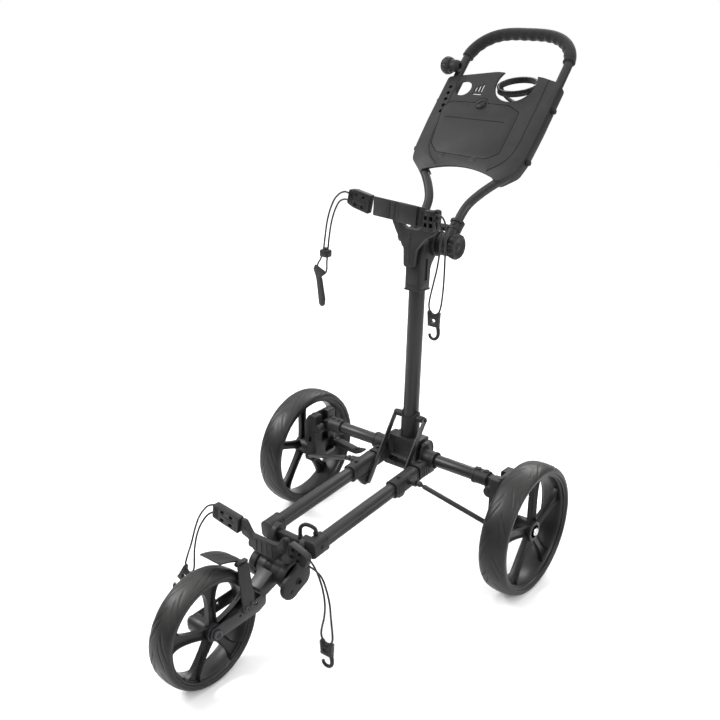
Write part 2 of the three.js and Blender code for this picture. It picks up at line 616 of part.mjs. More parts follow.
function buildUpperStrap(mast) {
  const half = STRAP.height / 2;
  const strip = box(STRAP.from, STRAP.to, strapBack - STRAP.thickness, strapBack, -half, half);
  const over = half + KEEPER.over;
  const loop = box(KEEPER.from, KEEPER.to, strapBack - KEEPER.thickness, strapBack, -over, over);
  const strap = join(strip, loop).rotateY(radians(STRAP.tilt)).translate(0, 0, STRAP.z);
  add(mast, 'upper_strap', strap, webbing);

  const left = buckle(61, 42, 31, 14).rotateY(radians(11));
  left.translate(STRAP.from - 5.5, strapBack - 3, STRAP.z + 6);
  add(mast, 'upper_buckle_left', left, plastic);
  const right = buckle(44, 26, 20, 14).rotateY(Math.PI / 2).translate(55, strapBack - 7, STRAP.z - 27);
  add(mast, 'upper_buckle_right', right, plastic);
}

function buildLowerBuckles(place) {
  const left = buckle(74, 36, 32, 16).rotateY(radians(8)).translate(-65, place.y - 2, place.z);
  add(model, 'lower_buckle_left', left, plastic);
  const right = mirrored(buckle(50, 32, 24, 16)).rotateY(radians(14)).translate(66.5, place.y - 2, place.z);
  add(model, 'lower_buckle_right', right, plastic);
}

// ---- Mast ---------------------------------------------------------------------------------------------
function buildMast() {
  const mast = group(model, [0, MAST.pivotY, MAST.pivotZ], -radians(MAST.lean));
  const tube = cut(
    disc('z', MAST.radius, MAST.bottom, MAST.top, 0, 0, SIDES.large),
    disc('z', MAST.radius - MAST.wall, MAST.bottom - 1, MAST.top + 1, 0, 0, SIDES.large),
  );
  add(mast, 'mast_tube', tube, paintedAlloy);

  const sleeveRadius = MAST.radius + GAP + BASE.sleeveWall;
  const baseHalf = linkInner - BASE.offLink;
  const block = plate([
    [BASE.front + 6, -BASE.below], [BASE.rear - 10, -BASE.below], [BASE.rear, -BASE.below + 14],
    [BASE.rear, BASE.above], [BASE.front, BASE.above], [BASE.front, -BASE.below + 8],
  ], 'yz', -baseHalf, baseHalf);
  const sleeve = disc('z', sleeveRadius, 0, BASE.sleeveTop, 0, 0, SIDES.large);
  const bosses = [1, -1].map((side) => sided(side, join(
    disc('x', 8, 10, linkInner - GAP, LINK.y, LINK.z, SIDES.small),
    disc('x', LINK.pin, 20, linkInner + LINK.thickness + 2.5, LINK.y, LINK.z, SIDES.small),
  )));
  const tubeBore = disc('z', MAST.radius + GAP, MAST.bottom - GAP, BASE.sleeveTop + 1, 0, 0, SIDES.large);
  const pinBore = disc('x', runningBore(HINGE.bolt), -60, 60, 0, 0, SIDES.small);
  add(mast, 'mast_base', cut(join(block, sleeve, ...bosses), tubeBore, pinBore), plastic);

  const w = ELBOW.halfWidth;
  const profile = [
    [-w - 1, ELBOW.bottom], [w, ELBOW.bottom], [w + 2, HINGE.z - 50], [HINGE.y + 4, HINGE.z - 28],
    [HINGE.y + 25, HINGE.z - 8], [HINGE.y + 24, HINGE.z + 10], [HINGE.y, HINGE.z + HINGE.eye],
    [HINGE.y - 22, HINGE.z + 14], [-8, HINGE.z + 2], [-w - 1, HINGE.z - 26],
  ];
  const core = plate(profile, 'yz', -w, w);
  const eye = disc('x', HINGE.disc, -HINGE.halfWidth, HINGE.halfWidth, HINGE.y, HINGE.z, SIDES.large);
  const elbowBore = disc('z', MAST.radius + GAP, ELBOW.bottom - 1, MAST.top + GAP, 0, 0, SIDES.large);
  const boltBore = disc('x', runningBore(HINGE.bolt), -60, 60, HINGE.y, HINGE.z, SIDES.small);
  add(mast, 'mast_elbow', cut(join(core, eye), elbowBore, boltBore), plastic);

  const bolt = disc('x', HINGE.bolt, -76, 62, HINGE.y, HINGE.z, SIDES.small);
  const head = disc('x', 12, -80, -66, HINGE.y, HINGE.z, SIDES.small);
  add(mast, 'hinge_bolt', join(bolt, head), steel);
  buildUpperCradle(mast);
  buildUpperStrap(mast);
  return mast;
}

// ---- Handle -------------------------------------------------------------------------------------------
// In the handle's own frame the hinge is the origin, +Y runs up the handle and +Z is out of the
// console's face.
function handlePath() {
  const { halfWidth, legHalf, top } = HANDLE;
  const side = [
    [legHalf, 34], [legHalf, 78], [legHalf + 5, 104], [legHalf + 21, 133], [legHalf + 42, 160],
    [halfWidth - 10, 197], [halfWidth - 2, 235], [halfWidth, 300], [halfWidth, 380], [halfWidth, 450],
    [halfWidth - 1, 488], [halfWidth - 8, 512], [halfWidth - 22, 532], [halfWidth - 41, 547],
    [halfWidth - 62, 556], [halfWidth - 90, 561],
  ];
  const right = side.map(([x, s]) => [x, s, 0]);
  const left = side.map(([x, s]) => [-x, s, 0]).reverse();
  return smooth([...right, [0, top, 0], ...left]);
}

function buildHandle(mast) {
  const handle = group(mast, [0, HINGE.y, HINGE.z], radians(HANDLE.angle + MAST.lean));
  const path = handlePath();
  const steps = 28;
  add(handle, 'handle_tube', swept(path, HANDLE.radius, steps, SIDES.small, HANDLE.bore), paintedAlloy);
  const swell = (extra) => swept(path, HANDLE.radius + extra, steps, SIDES.small);

  const gripZone = box(-200, 200, GRIP.start, 700, -40, 40);
  const gripSolid = toSolid(swept(path, GRIP.radius, steps, SIDES.small)).intersect(toSolid(gripZone));
  add(handle, 'foam_grip', toGeometry(gripSolid.subtract(toSolid(swell(GAP)))), rubber);

  buildYoke(handle, swell(GAP));
  buildConsole(handle, swell(GAP + 0.1));
  const { start, end, radius } = KNOB;
  const knob = turned([
    [0, start], [radius - 4, start], [radius, start + 4], [radius, end - 4], [radius - 4, end], [0, end],
  ], SIDES.medium);
  const bore = disc('x', runningBore(HINGE.bolt), 60, 62.8, 0, 0, SIDES.small);
  add(handle, 'handle_knob', cut(knob, bore), plastic);
}

function buildYoke(handle, tube) {
  const eyeIn = HINGE.halfWidth + 0.5;
  const outer = HANDLE.radius + HANDLE.socketWall;
  const halves = [1, -1].map((side) => sided(side, join(
    disc('x', 24, eyeIn, 60, 0, 0),
    disc('y', outer, 8, 60, HANDLE.legHalf, 0),
    disc('y', outer + 3, 54, 60, HANDLE.legHalf, 0),
  )));
  const cross = disc('x', 8, -HANDLE.legHalf, HANDLE.legHalf, 40, 0);
  const bore = disc('x', runningBore(HINGE.bolt), -61, 61, 0, 0, SIDES.small);
  add(handle, 'handle_yoke', cut(join(...halves, cross), bore, tube), plastic);
}

const LID_OUTLINE = [
  [-106, 238], [-81, 216], [49, 213], [77, 230], [78, 339], [43, 356], [-106, 354], [-122, 336],
];
const LATCH = { x: -26, s: 352, radius: 13, tab: 17 };

function buildConsole(handle, tube) {
  const { back, face, skin } = CONSOLE;
  const outside = HANDLE.halfWidth + 13;
  const inside = HANDLE.halfWidth - 13;
  const outline = new THREE.Shape();
  outline.moveTo(-103, 163);
  outline.quadraticCurveTo(0, 211, 103, 163);
  for (const [x, s] of [[135, 190], [outside - 3, 225], [outside, 300], [outside, 424], [125, 429], [94, 437],
    [-22, 444], [-outside, 421], [-outside, 300], [-outside + 3, 225], [-135, 190]]) {
    outline.lineTo(x, s);
  }
  const hollow = [
    [-72, 140], [72, 140], [77, 165], [109, 197], [inside - 4, 228], [inside, 325], [inside, 470],
    [-inside, 470], [-inside, 325], [-inside + 4, 228], [-109, 197], [-77, 165],
  ];
  const shell = cut(plate(outline, 'xy', back, face), plate(hollow, 'xy', back - 1, face - skin));
  const trayBack = CONSOLE.trayFloor - CONSOLE.trayWall;
  const trayOuter = plate(offsetOutline(LID_OUTLINE, -6), 'xy', trayBack, face - skin + 1);
  const bolts = [[360, outside], [225, outside - 3]].flatMap(([s, x]) => [1, -1].map((side) => (
    sided(side, disc('x', 6, x - 2, x + 8, s, 0, SIDES.small)))));
  const body = join(shell, trayOuter, ...bolts);

  const tray = plate(offsetOutline(LID_OUTLINE, -9), 'xy', CONSOLE.trayFloor, face + 1);
  const rebate = join(
    plate(offsetOutline(LID_OUTLINE, 0.6), 'xy', face - 3, face + 1),
    disc('z', LATCH.tab + 0.6, face - 3, face + 1, LATCH.x, LATCH.s),
  );
  const ballHole = disc('z', 20.5, back - 1, face + 1, -92, 392);
  const cupHole = disc('z', CUP.hole, back - 1, face + 1, CUP.x, CUP.s, SIDES.large);
  const tees = [-58, -50, -42].map((x, i) => box(x - 2, x + 2, 384, 400 + 4 * i, back - 1, face + 1));
  const teeBase = box(-62, -38, 377, 381, back - 1, face + 1);
  const pegHoles = Array.from({ length: 5 }, (_, i) => (
    disc('z', 3.6, face - 2.5, face + 1, -127 + 1.2 * i, 392 - 17 * i, SIDES.small)));
  const openings = [tray, rebate, ballHole, cupHole, ...tees, teeBase, ...pegHoles, tube];
  add(handle, 'console', cut(body, ...openings), plastic);

  const tab = disc('z', LATCH.tab, face - 2.7, face + 0.2, LATCH.x, LATCH.s);
  add(handle, 'scorecard_lid', join(plate(LID_OUTLINE, 'xy', face - 2.7, face + 0.2), tab), plastic);
  const dial = disc('z', LATCH.radius, face + 0.5, face + 4, LATCH.x, LATCH.s);
  const wing = box(LATCH.x - 2, LATCH.x + 2, LATCH.s - 11, LATCH.s + 11, face + 3, face + 7);
  add(handle, 'lid_latch', join(dial, wing), plastic);

  const umbrella = turned([
    [0, -24], [15, -22], [21, -12], [18, -1], [14, 0.5], [14, 18], [9, 23], [0, 24],
  ], SIDES.medium);
  add(handle, 'umbrella_joint', umbrella.translate(-143.5, 443, 25), plastic);
  buildCup(handle);
}

// The cup ring rests near level and tips on two side pins; a bail below it carries the cup's base.
function buildCup(handle) {
  const half = CUP.height / 2;
  const ring = cut(
    disc('z', CUP.outer, -half, half, 0, 0, SIDES.large),
    disc('z', CUP.outer - CUP.wall, -half - 1, half + 1, 0, 0, SIDES.large),
  );
  const pins = [1, -1].map((side) => (
    sided(side, disc('x', 4, CUP.outer - 2, CUP.hole - GAP, 0, 0, SIDES.small))));
  const reach = CUP.outer - 1;
  const thick = 4;
  const bail = new THREE.Shape();
  bail.moveTo(reach, 0);
  bail.absellipse(0, 0, reach, CUP.bailDrop, 0, -Math.PI, true);
  bail.lineTo(-reach + thick, 0);
  bail.absellipse(0, 0, reach - thick, CUP.bailDrop - thick, Math.PI, 2 * Math.PI, false);
  const drawn = { depth: CUP.bailWidth, bevelEnabled: false, curveSegments: 12 };
  const strap = new THREE.ExtrudeGeometry(bail, drawn);
  strap.rotateX(Math.PI / 2).translate(0, CUP.bailWidth / 2, 0);
  const cup = group(handle, [CUP.x, CUP.s, 2], radians(CUP.tilt - HANDLE.angle));
  add(cup, 'cup_ring', join(ring, strap, ...pins), plastic);
}

// ---- Elastic cords and their hooks --------------------------------------------------------------------
// A hook in its own frame: the cord loop passes its top at z = 0, and the hook's lip is at z = -length.
function hookShape(length) {
  const outline = [
    [-15, 4], [-9, 4], [-6, -4], [6, -4], [9, 4], [15, 4], [13, -length * 0.42], [16, -length * 0.46],
    [14, -length * 0.9], [8, -length], [-10, -length * 0.96], [-11, -length * 0.86], [4, -length * 0.86],
    [7, -length * 0.6], [-12, -length * 0.56],
  ];
  return plate(outline.map(([x, z]) => [z, x]).reverse(), 'zx', -5, 5);
}

const CORD_ROUTES = {
  cord_upper_left: [
    [-161.5, -15, 813], [-174, -14.5, 815], [-188, -14, 810], [-203, -14, 797], [-216, -14, 774],
    [-227, -14, 742], [-234, -14, 704], [-240, -14, 670], [-250, -13, 648], [-258, -12, 637],
    [-261, -11, 625.5],
    [-257.5, -10, 616.5], [-248.5, -9, 612.5], [-239.5, -8, 616.5], [-236, -7, 626], [-236, -6.3, 642],
    [-233.5, -6, 665], [-229, -6, 700], [-221, -6, 740],
    [-209, -7, 770], [-194, -10, 790], [-178, -13, 797.5], [-164.5, -15, 798.5],
  ],
  cord_upper_right: [
    [68.5, -18.5, 799], [76, -18.5, 799.5], [85, -19, 797], [92, -20, 789], [96, -21, 775], [98, -23, 745],
    [98.5, -24, 710], [98, -24, 670], [95.5, -24, 630], [92, -24, 606], [88, -24, 595], [80, -24, 588.5],
    [71, -24, 589.5], [64.5, -24, 596], [62.5, -24, 606], [65, -24, 625], [72, -24, 655], [80, -24, 690],
    [85, -24, 725], [86.5, -23, 755], [85, -21, 773], [80, -19.5, 783], [74, -18.5, 786.5],
    [68.5, -18.5, 787],
  ],
  cord_lower_left: [
    [-140, -477, 254], [-153, -483, 249], [-166, -494, 228], [-172, -503, 202], [-176, -513, 168],
    [-183, -522, 134], [-185, -525, 120], [-181.3, -527.5, 110.6], [-172, -528.5, 106.5],
    [-162.7, -527.5, 110.6],
    [-159, -525.5, 120], [-160, -522.5, 136],
    [-162, -518, 160], [-163, -508, 190], [-160, -497, 212], [-152, -485, 230], [-142, -477, 237],
  ],
  cord_lower_right: [
    [117, -477, 228], [129, -480, 223], [144, -484, 210], [158, -488, 188], [166, -491, 160],
    [165, -492, 130], [159, -492, 104], [157, -492, 87], [161.2, -492, 76.6], [171, -492, 72.5],
    [180.8, -492, 76.6], [185, -492, 87], [184, -491.5, 103], [180, -490, 130], [175, -488, 162],
    [164, -484, 186], [148, -479, 204], [130, -477, 211], [114.5, -477, 214],
  ],
};
const CORD_STEPS = { cord_upper_left: 38, cord_upper_right: 46, cord_lower_left: 28, cord_lower_right: 30 };

// The lower cords and hooks are drawn for the fork hinge's usual place and follow it.
function placed(name, [x, y, z]) {
  return name.includes('lower') ? [x, y + headY - CORD.hingeY, z + headZ - CORD.hingeZ] : [x, y, z];
}

function buildCords() {
  const bites = {};
  for (const [name, points] of Object.entries(CORD_ROUTES)) {
    const curve = smooth(points.map((point) => placed(name, point)));
    add(model, name, swept(curve, CORD.radius, CORD_STEPS[name], SIDES.cord), webbing);
    bites[name] = swept(curve, CORD.bite, CORD_STEPS[name], SIDES.cord);
  }
  const upper = hookShape(62).translate(76, -24, 590);
  add(model, 'hook_upper_right', cut(upper, bites.cord_upper_right), plastic);
  const lowerRight = hookShape(56).translate(...placed('lower', [171, -492, 72]));
  add(model, 'hook_lower_right', cut(lowerRight, bites.cord_lower_right), plastic);
  const lowerLeft = hookShape(70).rotateX(radians(-12)).rotateY(radians(30));
  lowerLeft.translate(...placed('lower', [-172, -528, 110]));
  add(model, 'hook_lower_left', cut(lowerLeft, bites.cord_lower_left), plastic);

  const lock = box(-248, -224, -20, 0, 656, 678);
  add(model, 'cord_lock', cut(lock, bites.cord_upper_left), plastic);
  const tabOutline = [
    [-267, 634], [-237, 622], [-240, 612], [-249, 606], [-245, 580], [-237, 548], [-239, 530], [-251, 526],
    [-257, 532], [-261, 575], [-265, 604], [-273, 622],
  ];
  const tab = plate(tabOutline.map(([x, z]) => [z, x]), 'zx', -13, -7);
  add(model, 'pull_tab', cut(tab, bites.cord_upper_left), webbing);
}

buildRails();
buildHub();
buildCollars();
buildStruts();
buildLinks();
buildAxle();
buildKnuckles();
buildBrake();
buildRearWheels();
buildFrontWheel();
buildFork();
buildFender();
buildCrosshead();
buildReleaseCable();
buildLowerBuckles(buildLowerCradle());
buildHandle(buildMast());
buildCords();

// The origin is under the middle of the cart's length, measured without the cords and what hangs on them.
const HANGING = /^(cord|hook|pull)_/;
model.updateMatrixWorld(true);
const extent = new THREE.Box3();
model.traverse((piece) => {
  if (piece.isMesh && !HANGING.test(piece.name)) extent.expandByObject(piece, true);
});
model.position.y = -(extent.min.y + extent.max.y) / 2;

export default model;
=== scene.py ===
"""A three-wheel folding golf push cart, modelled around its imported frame.

Sizes are in millimetres in the frame of the sub-assembly that uses them, and every finished piece is in
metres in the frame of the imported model.
"""

import json
import logging
import math
from collections.abc import Callable, Iterable, Sequence
from dataclasses import dataclass
from enum import Enum

import bmesh
import bpy
from mathutils import Matrix, Vector


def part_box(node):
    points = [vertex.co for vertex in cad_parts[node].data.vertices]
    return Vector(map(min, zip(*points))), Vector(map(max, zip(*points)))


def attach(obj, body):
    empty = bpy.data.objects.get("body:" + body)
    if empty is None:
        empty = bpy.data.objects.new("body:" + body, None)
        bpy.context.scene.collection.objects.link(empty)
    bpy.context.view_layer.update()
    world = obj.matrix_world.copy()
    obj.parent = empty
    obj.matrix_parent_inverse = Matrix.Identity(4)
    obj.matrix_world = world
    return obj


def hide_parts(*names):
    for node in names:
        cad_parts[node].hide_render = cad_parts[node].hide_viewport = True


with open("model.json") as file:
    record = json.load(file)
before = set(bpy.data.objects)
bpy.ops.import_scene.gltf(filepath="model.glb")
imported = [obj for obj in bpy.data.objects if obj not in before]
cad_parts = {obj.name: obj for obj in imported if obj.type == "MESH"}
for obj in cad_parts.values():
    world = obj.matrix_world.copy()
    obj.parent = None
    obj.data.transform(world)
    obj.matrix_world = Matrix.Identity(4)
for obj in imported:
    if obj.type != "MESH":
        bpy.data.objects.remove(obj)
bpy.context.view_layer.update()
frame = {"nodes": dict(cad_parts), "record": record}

LOG = logging.getLogger("push_cart")
MM = 0.001
FULL_TURN = 2 * math.pi
SHARP = math.radians(26)

Flat = tuple[float, float]
Point = tuple[float, float, float]
Piece = bpy.types.Object


# ---- Axes, planes and sides ---------------------------------------------------------------------------
class Plane(Enum):
    """The plane that an outline is drawn in; the axis left over is the one it is pulled along."""

    XY = "xy"
    YZ = "yz"
    XZ = "xz"

    def lift(self, a: float, b: float, depth: float) -> Vector:
        """Give the point at (a, b) in this plane, at a depth along its normal.

        Args:
            a: First coordinate in the plane.
            b: Second coordinate in the plane.
            depth: Distance along the axis left over.

        Returns:
            The point in three coordinates.
        """
        if self is Plane.XY:
            return Vector((a, b, depth))
        if self is Plane.YZ:
            return Vector((depth, a, b))
        return Vector((a, depth, b))


class Axis(Enum):
    """The axis that a round piece is turned about."""

    X = "x"
    Y = "y"
    Z = "z"

    def stand(self, middle: float, a: float, b: float) -> Matrix:
        """Give the move that takes an upright piece at the origin to its place on this axis.

        Args:
            middle: The piece's middle along the axis.
            a: First of the two other coordinates, in alphabetical order.
            b: Second of the two other coordinates.

        Returns:
            The placing matrix.
        """
        if self is Axis.X:
            return Matrix.Translation((middle, a, b)) @ Matrix.Rotation(math.pi / 2, 4, "Y")
        if self is Axis.Y:
            return Matrix.Translation((a, middle, b)) @ Matrix.Rotation(-math.pi / 2, 4, "X")
        return Matrix.Translation((a, b, middle))


class Side(Enum):
    """The cart's two sides; left is the side of positive X."""

    LEFT = 1
    RIGHT = -1

    @property
    def word(self) -> str:
        """The side's name as the nodes spell it."""
        return self.name.lower()

    @property
    def mirror(self) -> Matrix:
        """The scale that turns a left piece into one for this side."""
        return Matrix.Diagonal((self.value, 1, 1, 1))


# ---- Paths --------------------------------------------------------------------------------------------
def smooth_path(points: Sequence[Point], per_span: int) -> list[Vector]:
    """Run a centripetal Catmull-Rom curve through points.

    Args:
        points: The points that the curve passes.
        per_span: How many samples each span between two points gets.

    Returns:
        The sampled points, both ends included.
    """
    knots = [Vector(p) for p in points]
    knots = [2 * knots[0] - knots[1], *knots, 2 * knots[-1] - knots[-2]]
    samples: list[Vector] = []
    for p0, p1, p2, p3 in zip(knots, knots[1:], knots[2:], knots[3:]):
        d0, d1, d2 = (math.sqrt((b - a).length) for a, b in ((p0, p1), (p1, p2), (p2, p3)))
        start = ((p1 - p0) / d0 - (p2 - p0) / (d0 + d1) + (p2 - p1) / d1) * d1
        end = ((p2 - p1) / d1 - (p3 - p1) / (d1 + d2) + (p3 - p2) / d2) * d1
        for step in range(per_span):
            t = step / per_span
            samples.append(
                p1 * (2 * t**3 - 3 * t**2 + 1) + start * (t**3 - 2 * t**2 + t)
                + p2 * (3 * t**2 - 2 * t**3) + end * (t**3 - t**2)
            )
    samples.append(knots[-2])
    return samples


def length_of(points: Sequence[Vector]) -> float:
    """Add up the straight runs between points."""
    return sum((b - a).length for a, b in zip(points, points[1:]))


def arc(cx: float, cy: float, radius: float, start: float, end: float, count: int = 8) -> list[Flat]:
    """List points on a circular arc.

    Args:
        cx: First coordinate of the centre.
        cy: Second coordinate of the centre.
        radius: The arc's radius.
        start: Angle of the first point, in degrees.
        end: Angle of the last point, in degrees.
        count: How many spans the arc is split in.

    Returns:
        The points, both ends included.
    """
    turns = (math.radians(start + (end - start) * i / count) for i in range(count + 1))
    return [(cx + radius * math.cos(t), cy + radius * math.sin(t)) for t in turns]


def rounded(corners: Sequence[Flat], radius: float, count: int = 5) -> list[Flat]:
    """Round the corners of an outline.

    Args:
        corners: The sharp outline.
        radius: Radius wanted at each corner; short sides lower it there.
        count: Spans per corner.

    Returns:
        The softened outline.
    """
    result: list[Flat] = []
    total = len(corners)
    for i, corner in enumerate(corners):
        here = Vector(corner)
        before = Vector(corners[i - 1]) - here
        after = Vector(corners[(i + 1) % total]) - here
        cut = min(radius, before.length * 0.42, after.length * 0.42)
        start = here + before.normalized() * cut
        end = here + after.normalized() * cut
        for step in range(count + 1):
            t = step / count
            point = start * (1 - t) ** 2 + here * (2 * t * (1 - t)) + end * t**2
            result.append((point.x, point.y))
    return result


def rounded_box(width: float, height: float, radius: float, count: int = 6) -> list[Flat]:
    """List the outline of a rounded rectangle about the origin."""
    w = width / 2 - radius
    h = height / 2 - radius
    corners = ((w, -h, -90), (w, h, 0), (-w, h, 90), (-w, -h, 180))
    return [p for x, y, turn in corners for p in arc(x, y, radius, turn, turn + 90, count)]


# ---- Modelling ----------------------------------------------------------------------------------------
class Clay:
    """Closed shells gathered in one bmesh, in millimetres of one local frame."""

    def __init__(self, place: Matrix | None = None) -> None:
        """Start empty.

        Args:
            place: Where the local frame lies in the cart's frame.
        """
        self.bm = bmesh.new()
        self.place = place or Matrix()

    def absorb(self, part: bmesh.types.BMesh, move: Matrix | None = None) -> "Clay":
        """Take in a finished shell and free it.

        Args:
            part: The shell.
            move: An extra move for it, in the local frame.

        Returns:
            This clay, so that calls chain.
        """
        if move is not None:
            part.transform(move)
        bmesh.ops.recalc_face_normals(part, faces=part.faces)
        mesh = bpy.data.meshes.new("shell")
        part.to_mesh(mesh)
        part.free()
        self.bm.from_mesh(mesh)
        bpy.data.meshes.remove(mesh)
        return self

    @staticmethod
    def soften(part: bmesh.types.BMesh, width: float, segments: int = 2, angle: float = SHARP) -> None:
        """Round the sharp edges of a shell.

        Args:
            part: The shell.
            width: Width of the rounding.
            segments: Steps across it.
            angle: Edges that turn more than this are sharp.
        """
        if width <= 0:
            return
        sharp = [e for e in part.edges if len(e.link_faces) == 2 and e.calc_face_angle(0) > angle]
        bmesh.ops.bevel(
            part, geom=sharp, offset=width, offset_type="OFFSET", segments=segments, profile=0.5,
            affect="EDGES", clamp_overlap=True, material=-1,
        )

    def block(self, x0: float, x1: float, y0: float, y1: float, z0: float, z1: float,
              soft: float = 1.0, move: Matrix | None = None) -> "Clay":
        """Add a box with rounded edges.

        Args:
            x0: Low X.
            x1: High X.
            y0: Low Y.
            y1: High Y.
            z0: Low Z.
            z1: High Z.
            soft: Edge rounding.
            move: An extra move.

        Returns:
            This clay.
        """
        part = bmesh.new()
        middle = Matrix.Translation(((x0 + x1) / 2, (y0 + y1) / 2, (z0 + z1) / 2))
        size = Matrix.Diagonal((x1 - x0, y1 - y0, z1 - z0, 1))
        bmesh.ops.create_cube(part, size=1, matrix=middle @ size)
        self.soften(part, soft)
        return self.absorb(part, move)

    def drum(self, axis: Axis, radius: float, low: float, high: float, a: float = 0.0, b: float = 0.0,
             sides: int = 48, soft: float = 1.0, end: float | None = None,
             move: Matrix | None = None) -> "Clay":
        """Add a round bar or disc with rounded rims.

        Args:
            axis: The axis that it is turned about.
            radius: Its radius.
            low: Its low end.
            high: Its high end.
            a: First of the two other coordinates.
            b: Second of the two other coordinates.
            sides: Facets round it.
            soft: Rim rounding.
            end: Radius at the high end, where it tapers.
            move: An extra move.

        Returns:
            This clay.
        """
        part = bmesh.new()
        bmesh.ops.create_cone(
            part, cap_ends=True, cap_tris=False, segments=sides, radius1=radius,
            radius2=radius if end is None else end, depth=high - low,
            matrix=axis.stand((low + high) / 2, a, b),
        )
        self.soften(part, soft, angle=math.radians(46) if sides < 10 else SHARP)
        return self.absorb(part, move)

    def plate(self, outline: Sequence[Flat], plane: Plane, low: float, high: float, soft: float = 1.0,
              pocket: tuple[float, float] | None = None, both: bool = False,
              move: Matrix | None = None) -> "Clay":
        """Add an outline pulled into a plate, with an optional pocket inside its edge.

        Args:
            outline: Corner points in the plane.
            plane: The plane.
            low: Low side along the normal.
            high: High side along the normal.
            soft: Edge rounding.
            pocket: Width of the wall left round the pocket, and its depth.
            both: Pocket the low side too.
            move: An extra move.

        Returns:
            This clay.
        """
        part = bmesh.new()
        floor = part.faces.new([part.verts.new(plane.lift(a, b, low)) for a, b in outline])
        pulled = bmesh.ops.extrude_face_region(part, geom=[floor], use_keep_orig=True)
        top_verts = [g for g in pulled["geom"] if isinstance(g, bmesh.types.BMVert)]
        roof = next(g for g in pulled["geom"] if isinstance(g, bmesh.types.BMFace))
        bmesh.ops.translate(part, verts=top_verts, vec=plane.lift(0, 0, high - low))
        bmesh.ops.recalc_face_normals(part, faces=part.faces)
        if pocket is not None:
            faces = [roof, floor] if both else [roof]
            bmesh.ops.inset_individual(
                part, faces=faces, thickness=pocket[0], depth=-pocket[1], use_even_offset=True,
            )
        self.soften(part, soft)
        return self.absorb(part, move)

    def turned(self, profile: Sequence[Flat], steps: int = 96, axis: Axis = Axis.X, closed: bool = True,
               middle: Point = (0, 0, 0), move: Matrix | None = None,
               shape: Callable[[Vector], Vector] | None = None) -> "Clay":
        """Add a profile spun a full turn about an axis.

        Args:
            profile: Points as radius and height along the axis.
            steps: Steps round the turn.
            axis: The axis.
            closed: Whether the profile is a loop, as a ring's is.
            middle: Where the axis passes.
            move: An extra move.
            shape: A last change to each point, in upright coordinates.

        Returns:
            This clay.
        """
        part = bmesh.new()
        verts = [part.verts.new((r, 0, h)) for r, h in profile]
        pairs = list(zip(verts, verts[1:]))
        if closed:
            pairs.append((verts[-1], verts[0]))
        edges = [part.edges.new(pair) for pair in pairs]
        bmesh.ops.spin(
            part, geom=[*verts, *edges], cent=(0, 0, 0), axis=(0, 0, 1), dvec=(0, 0, 0),
            angle=FULL_TURN, steps=steps, use_merge=True, use_duplicate=False,
        )
        bmesh.ops.remove_doubles(part, verts=part.verts, dist=1e-4)
        if shape is not None:
            for vert in part.verts:
                vert.co = shape(vert.co)
        part.transform(Matrix.Translation(middle) @ axis.stand(0, 0, 0))
        return self.absorb(part, move)

    def ball(self, radius: float, x: float, y: float, z: float) -> "Clay":
        """Add a ball."""
        part = bmesh.new()
        bmesh.ops.create_uvsphere(
            part, u_segments=32, v_segments=16, radius=radius, matrix=Matrix.Translation((x, y, z)),
        )
        return self.absorb(part)

    def bar(self, start: Point, end: Point, radius: float, sides: int = 32, soft: float = 0.6) -> "Clay":
        """Add a straight round bar between two points.

        Args:
            start: One end.
            end: The other end.
            radius: Its radius.
            sides: Facets round it.
            soft: Rim rounding.

        Returns:
            This clay.
        """
        first = Vector(start)
        along = Vector(end) - first
        turn = along.to_track_quat("Z", "Y").to_matrix().to_4x4()
        move = Matrix.Translation(first + along / 2) @ turn
        return self.drum(Axis.Z, radius, -along.length / 2, along.length / 2, 0, 0, sides, soft, move=move)

    def swept(self, path: Sequence[Vector], section: Callable[[float, float], float], sides: int = 20,
              up: Point = (0, 0, 1), flat: float = 1.0) -> "Clay":
        """Add a rod whose section follows a path.

        Args:
            path: The centreline.
            section: Radius for a share of the length, 0 to 1, and an angle round the rod.
            sides: Facets round the rod.
            up: A direction that the section's first axis stays square to.
            flat: Scale of the section along its second axis.

        Returns:
            This clay.
        """
        part = bmesh.new()
        thread = part.verts.layers.float_vector.new("thread")
        total = length_of(path)
        ring = bmesh.ops.create_circle(part, cap_ends=True, segments=sides, radius=1)["verts"]
        done = 0.0
        across: Vector | None = None
        for i, point in enumerate(path):
            ahead = (path[min(i + 1, len(path) - 1)] - path[max(i - 1, 0)]).normalized()
            if across is None:
                across = ahead.cross(Vector(up)).normalized()
            across = (across - ahead * across.dot(ahead)).normalized()
            second = ahead.cross(across)
            if i:
                done += (point - path[i - 1]).length
                old = set(ring)
                edges = [e for e in part.edges if e.verts[0] in old and e.verts[1] in old]
                edges = [e for e in edges if len(e.link_faces) < 2]
                made = bmesh.ops.extrude_edge_only(part, edges=edges)["geom"]
                partner = {}
                new_verts = {g for g in made if isinstance(g, bmesh.types.BMVert)}
                for vert in ring:
                    ends = (edge.other_vert(vert) for edge in vert.link_edges)
                    partner[vert] = next(end for end in ends if end in new_verts)
                ring = [partner[vert] for vert in ring]
            for k, vert in enumerate(ring):
                angle = FULL_TURN * k / sides
                radius = section(done / total, angle)
                sideways = across * (radius * math.cos(angle))
                vert.co = point + sideways + second * (radius * flat * math.sin(angle))
                vert[thread] = (math.cos(angle), math.sin(angle), done)
        part.faces.new(ring)
        return self.absorb(part)

    def carve(self, tool: "Clay", keep: bool = False) -> "Clay":
        """Cut another clay's volume out of this one.

        Args:
            tool: The volume to take away, in the same local frame.
            keep: Leave the tool usable for another cut.

        Returns:
            This clay.
        """
        return self._combine(tool, "DIFFERENCE", keep)

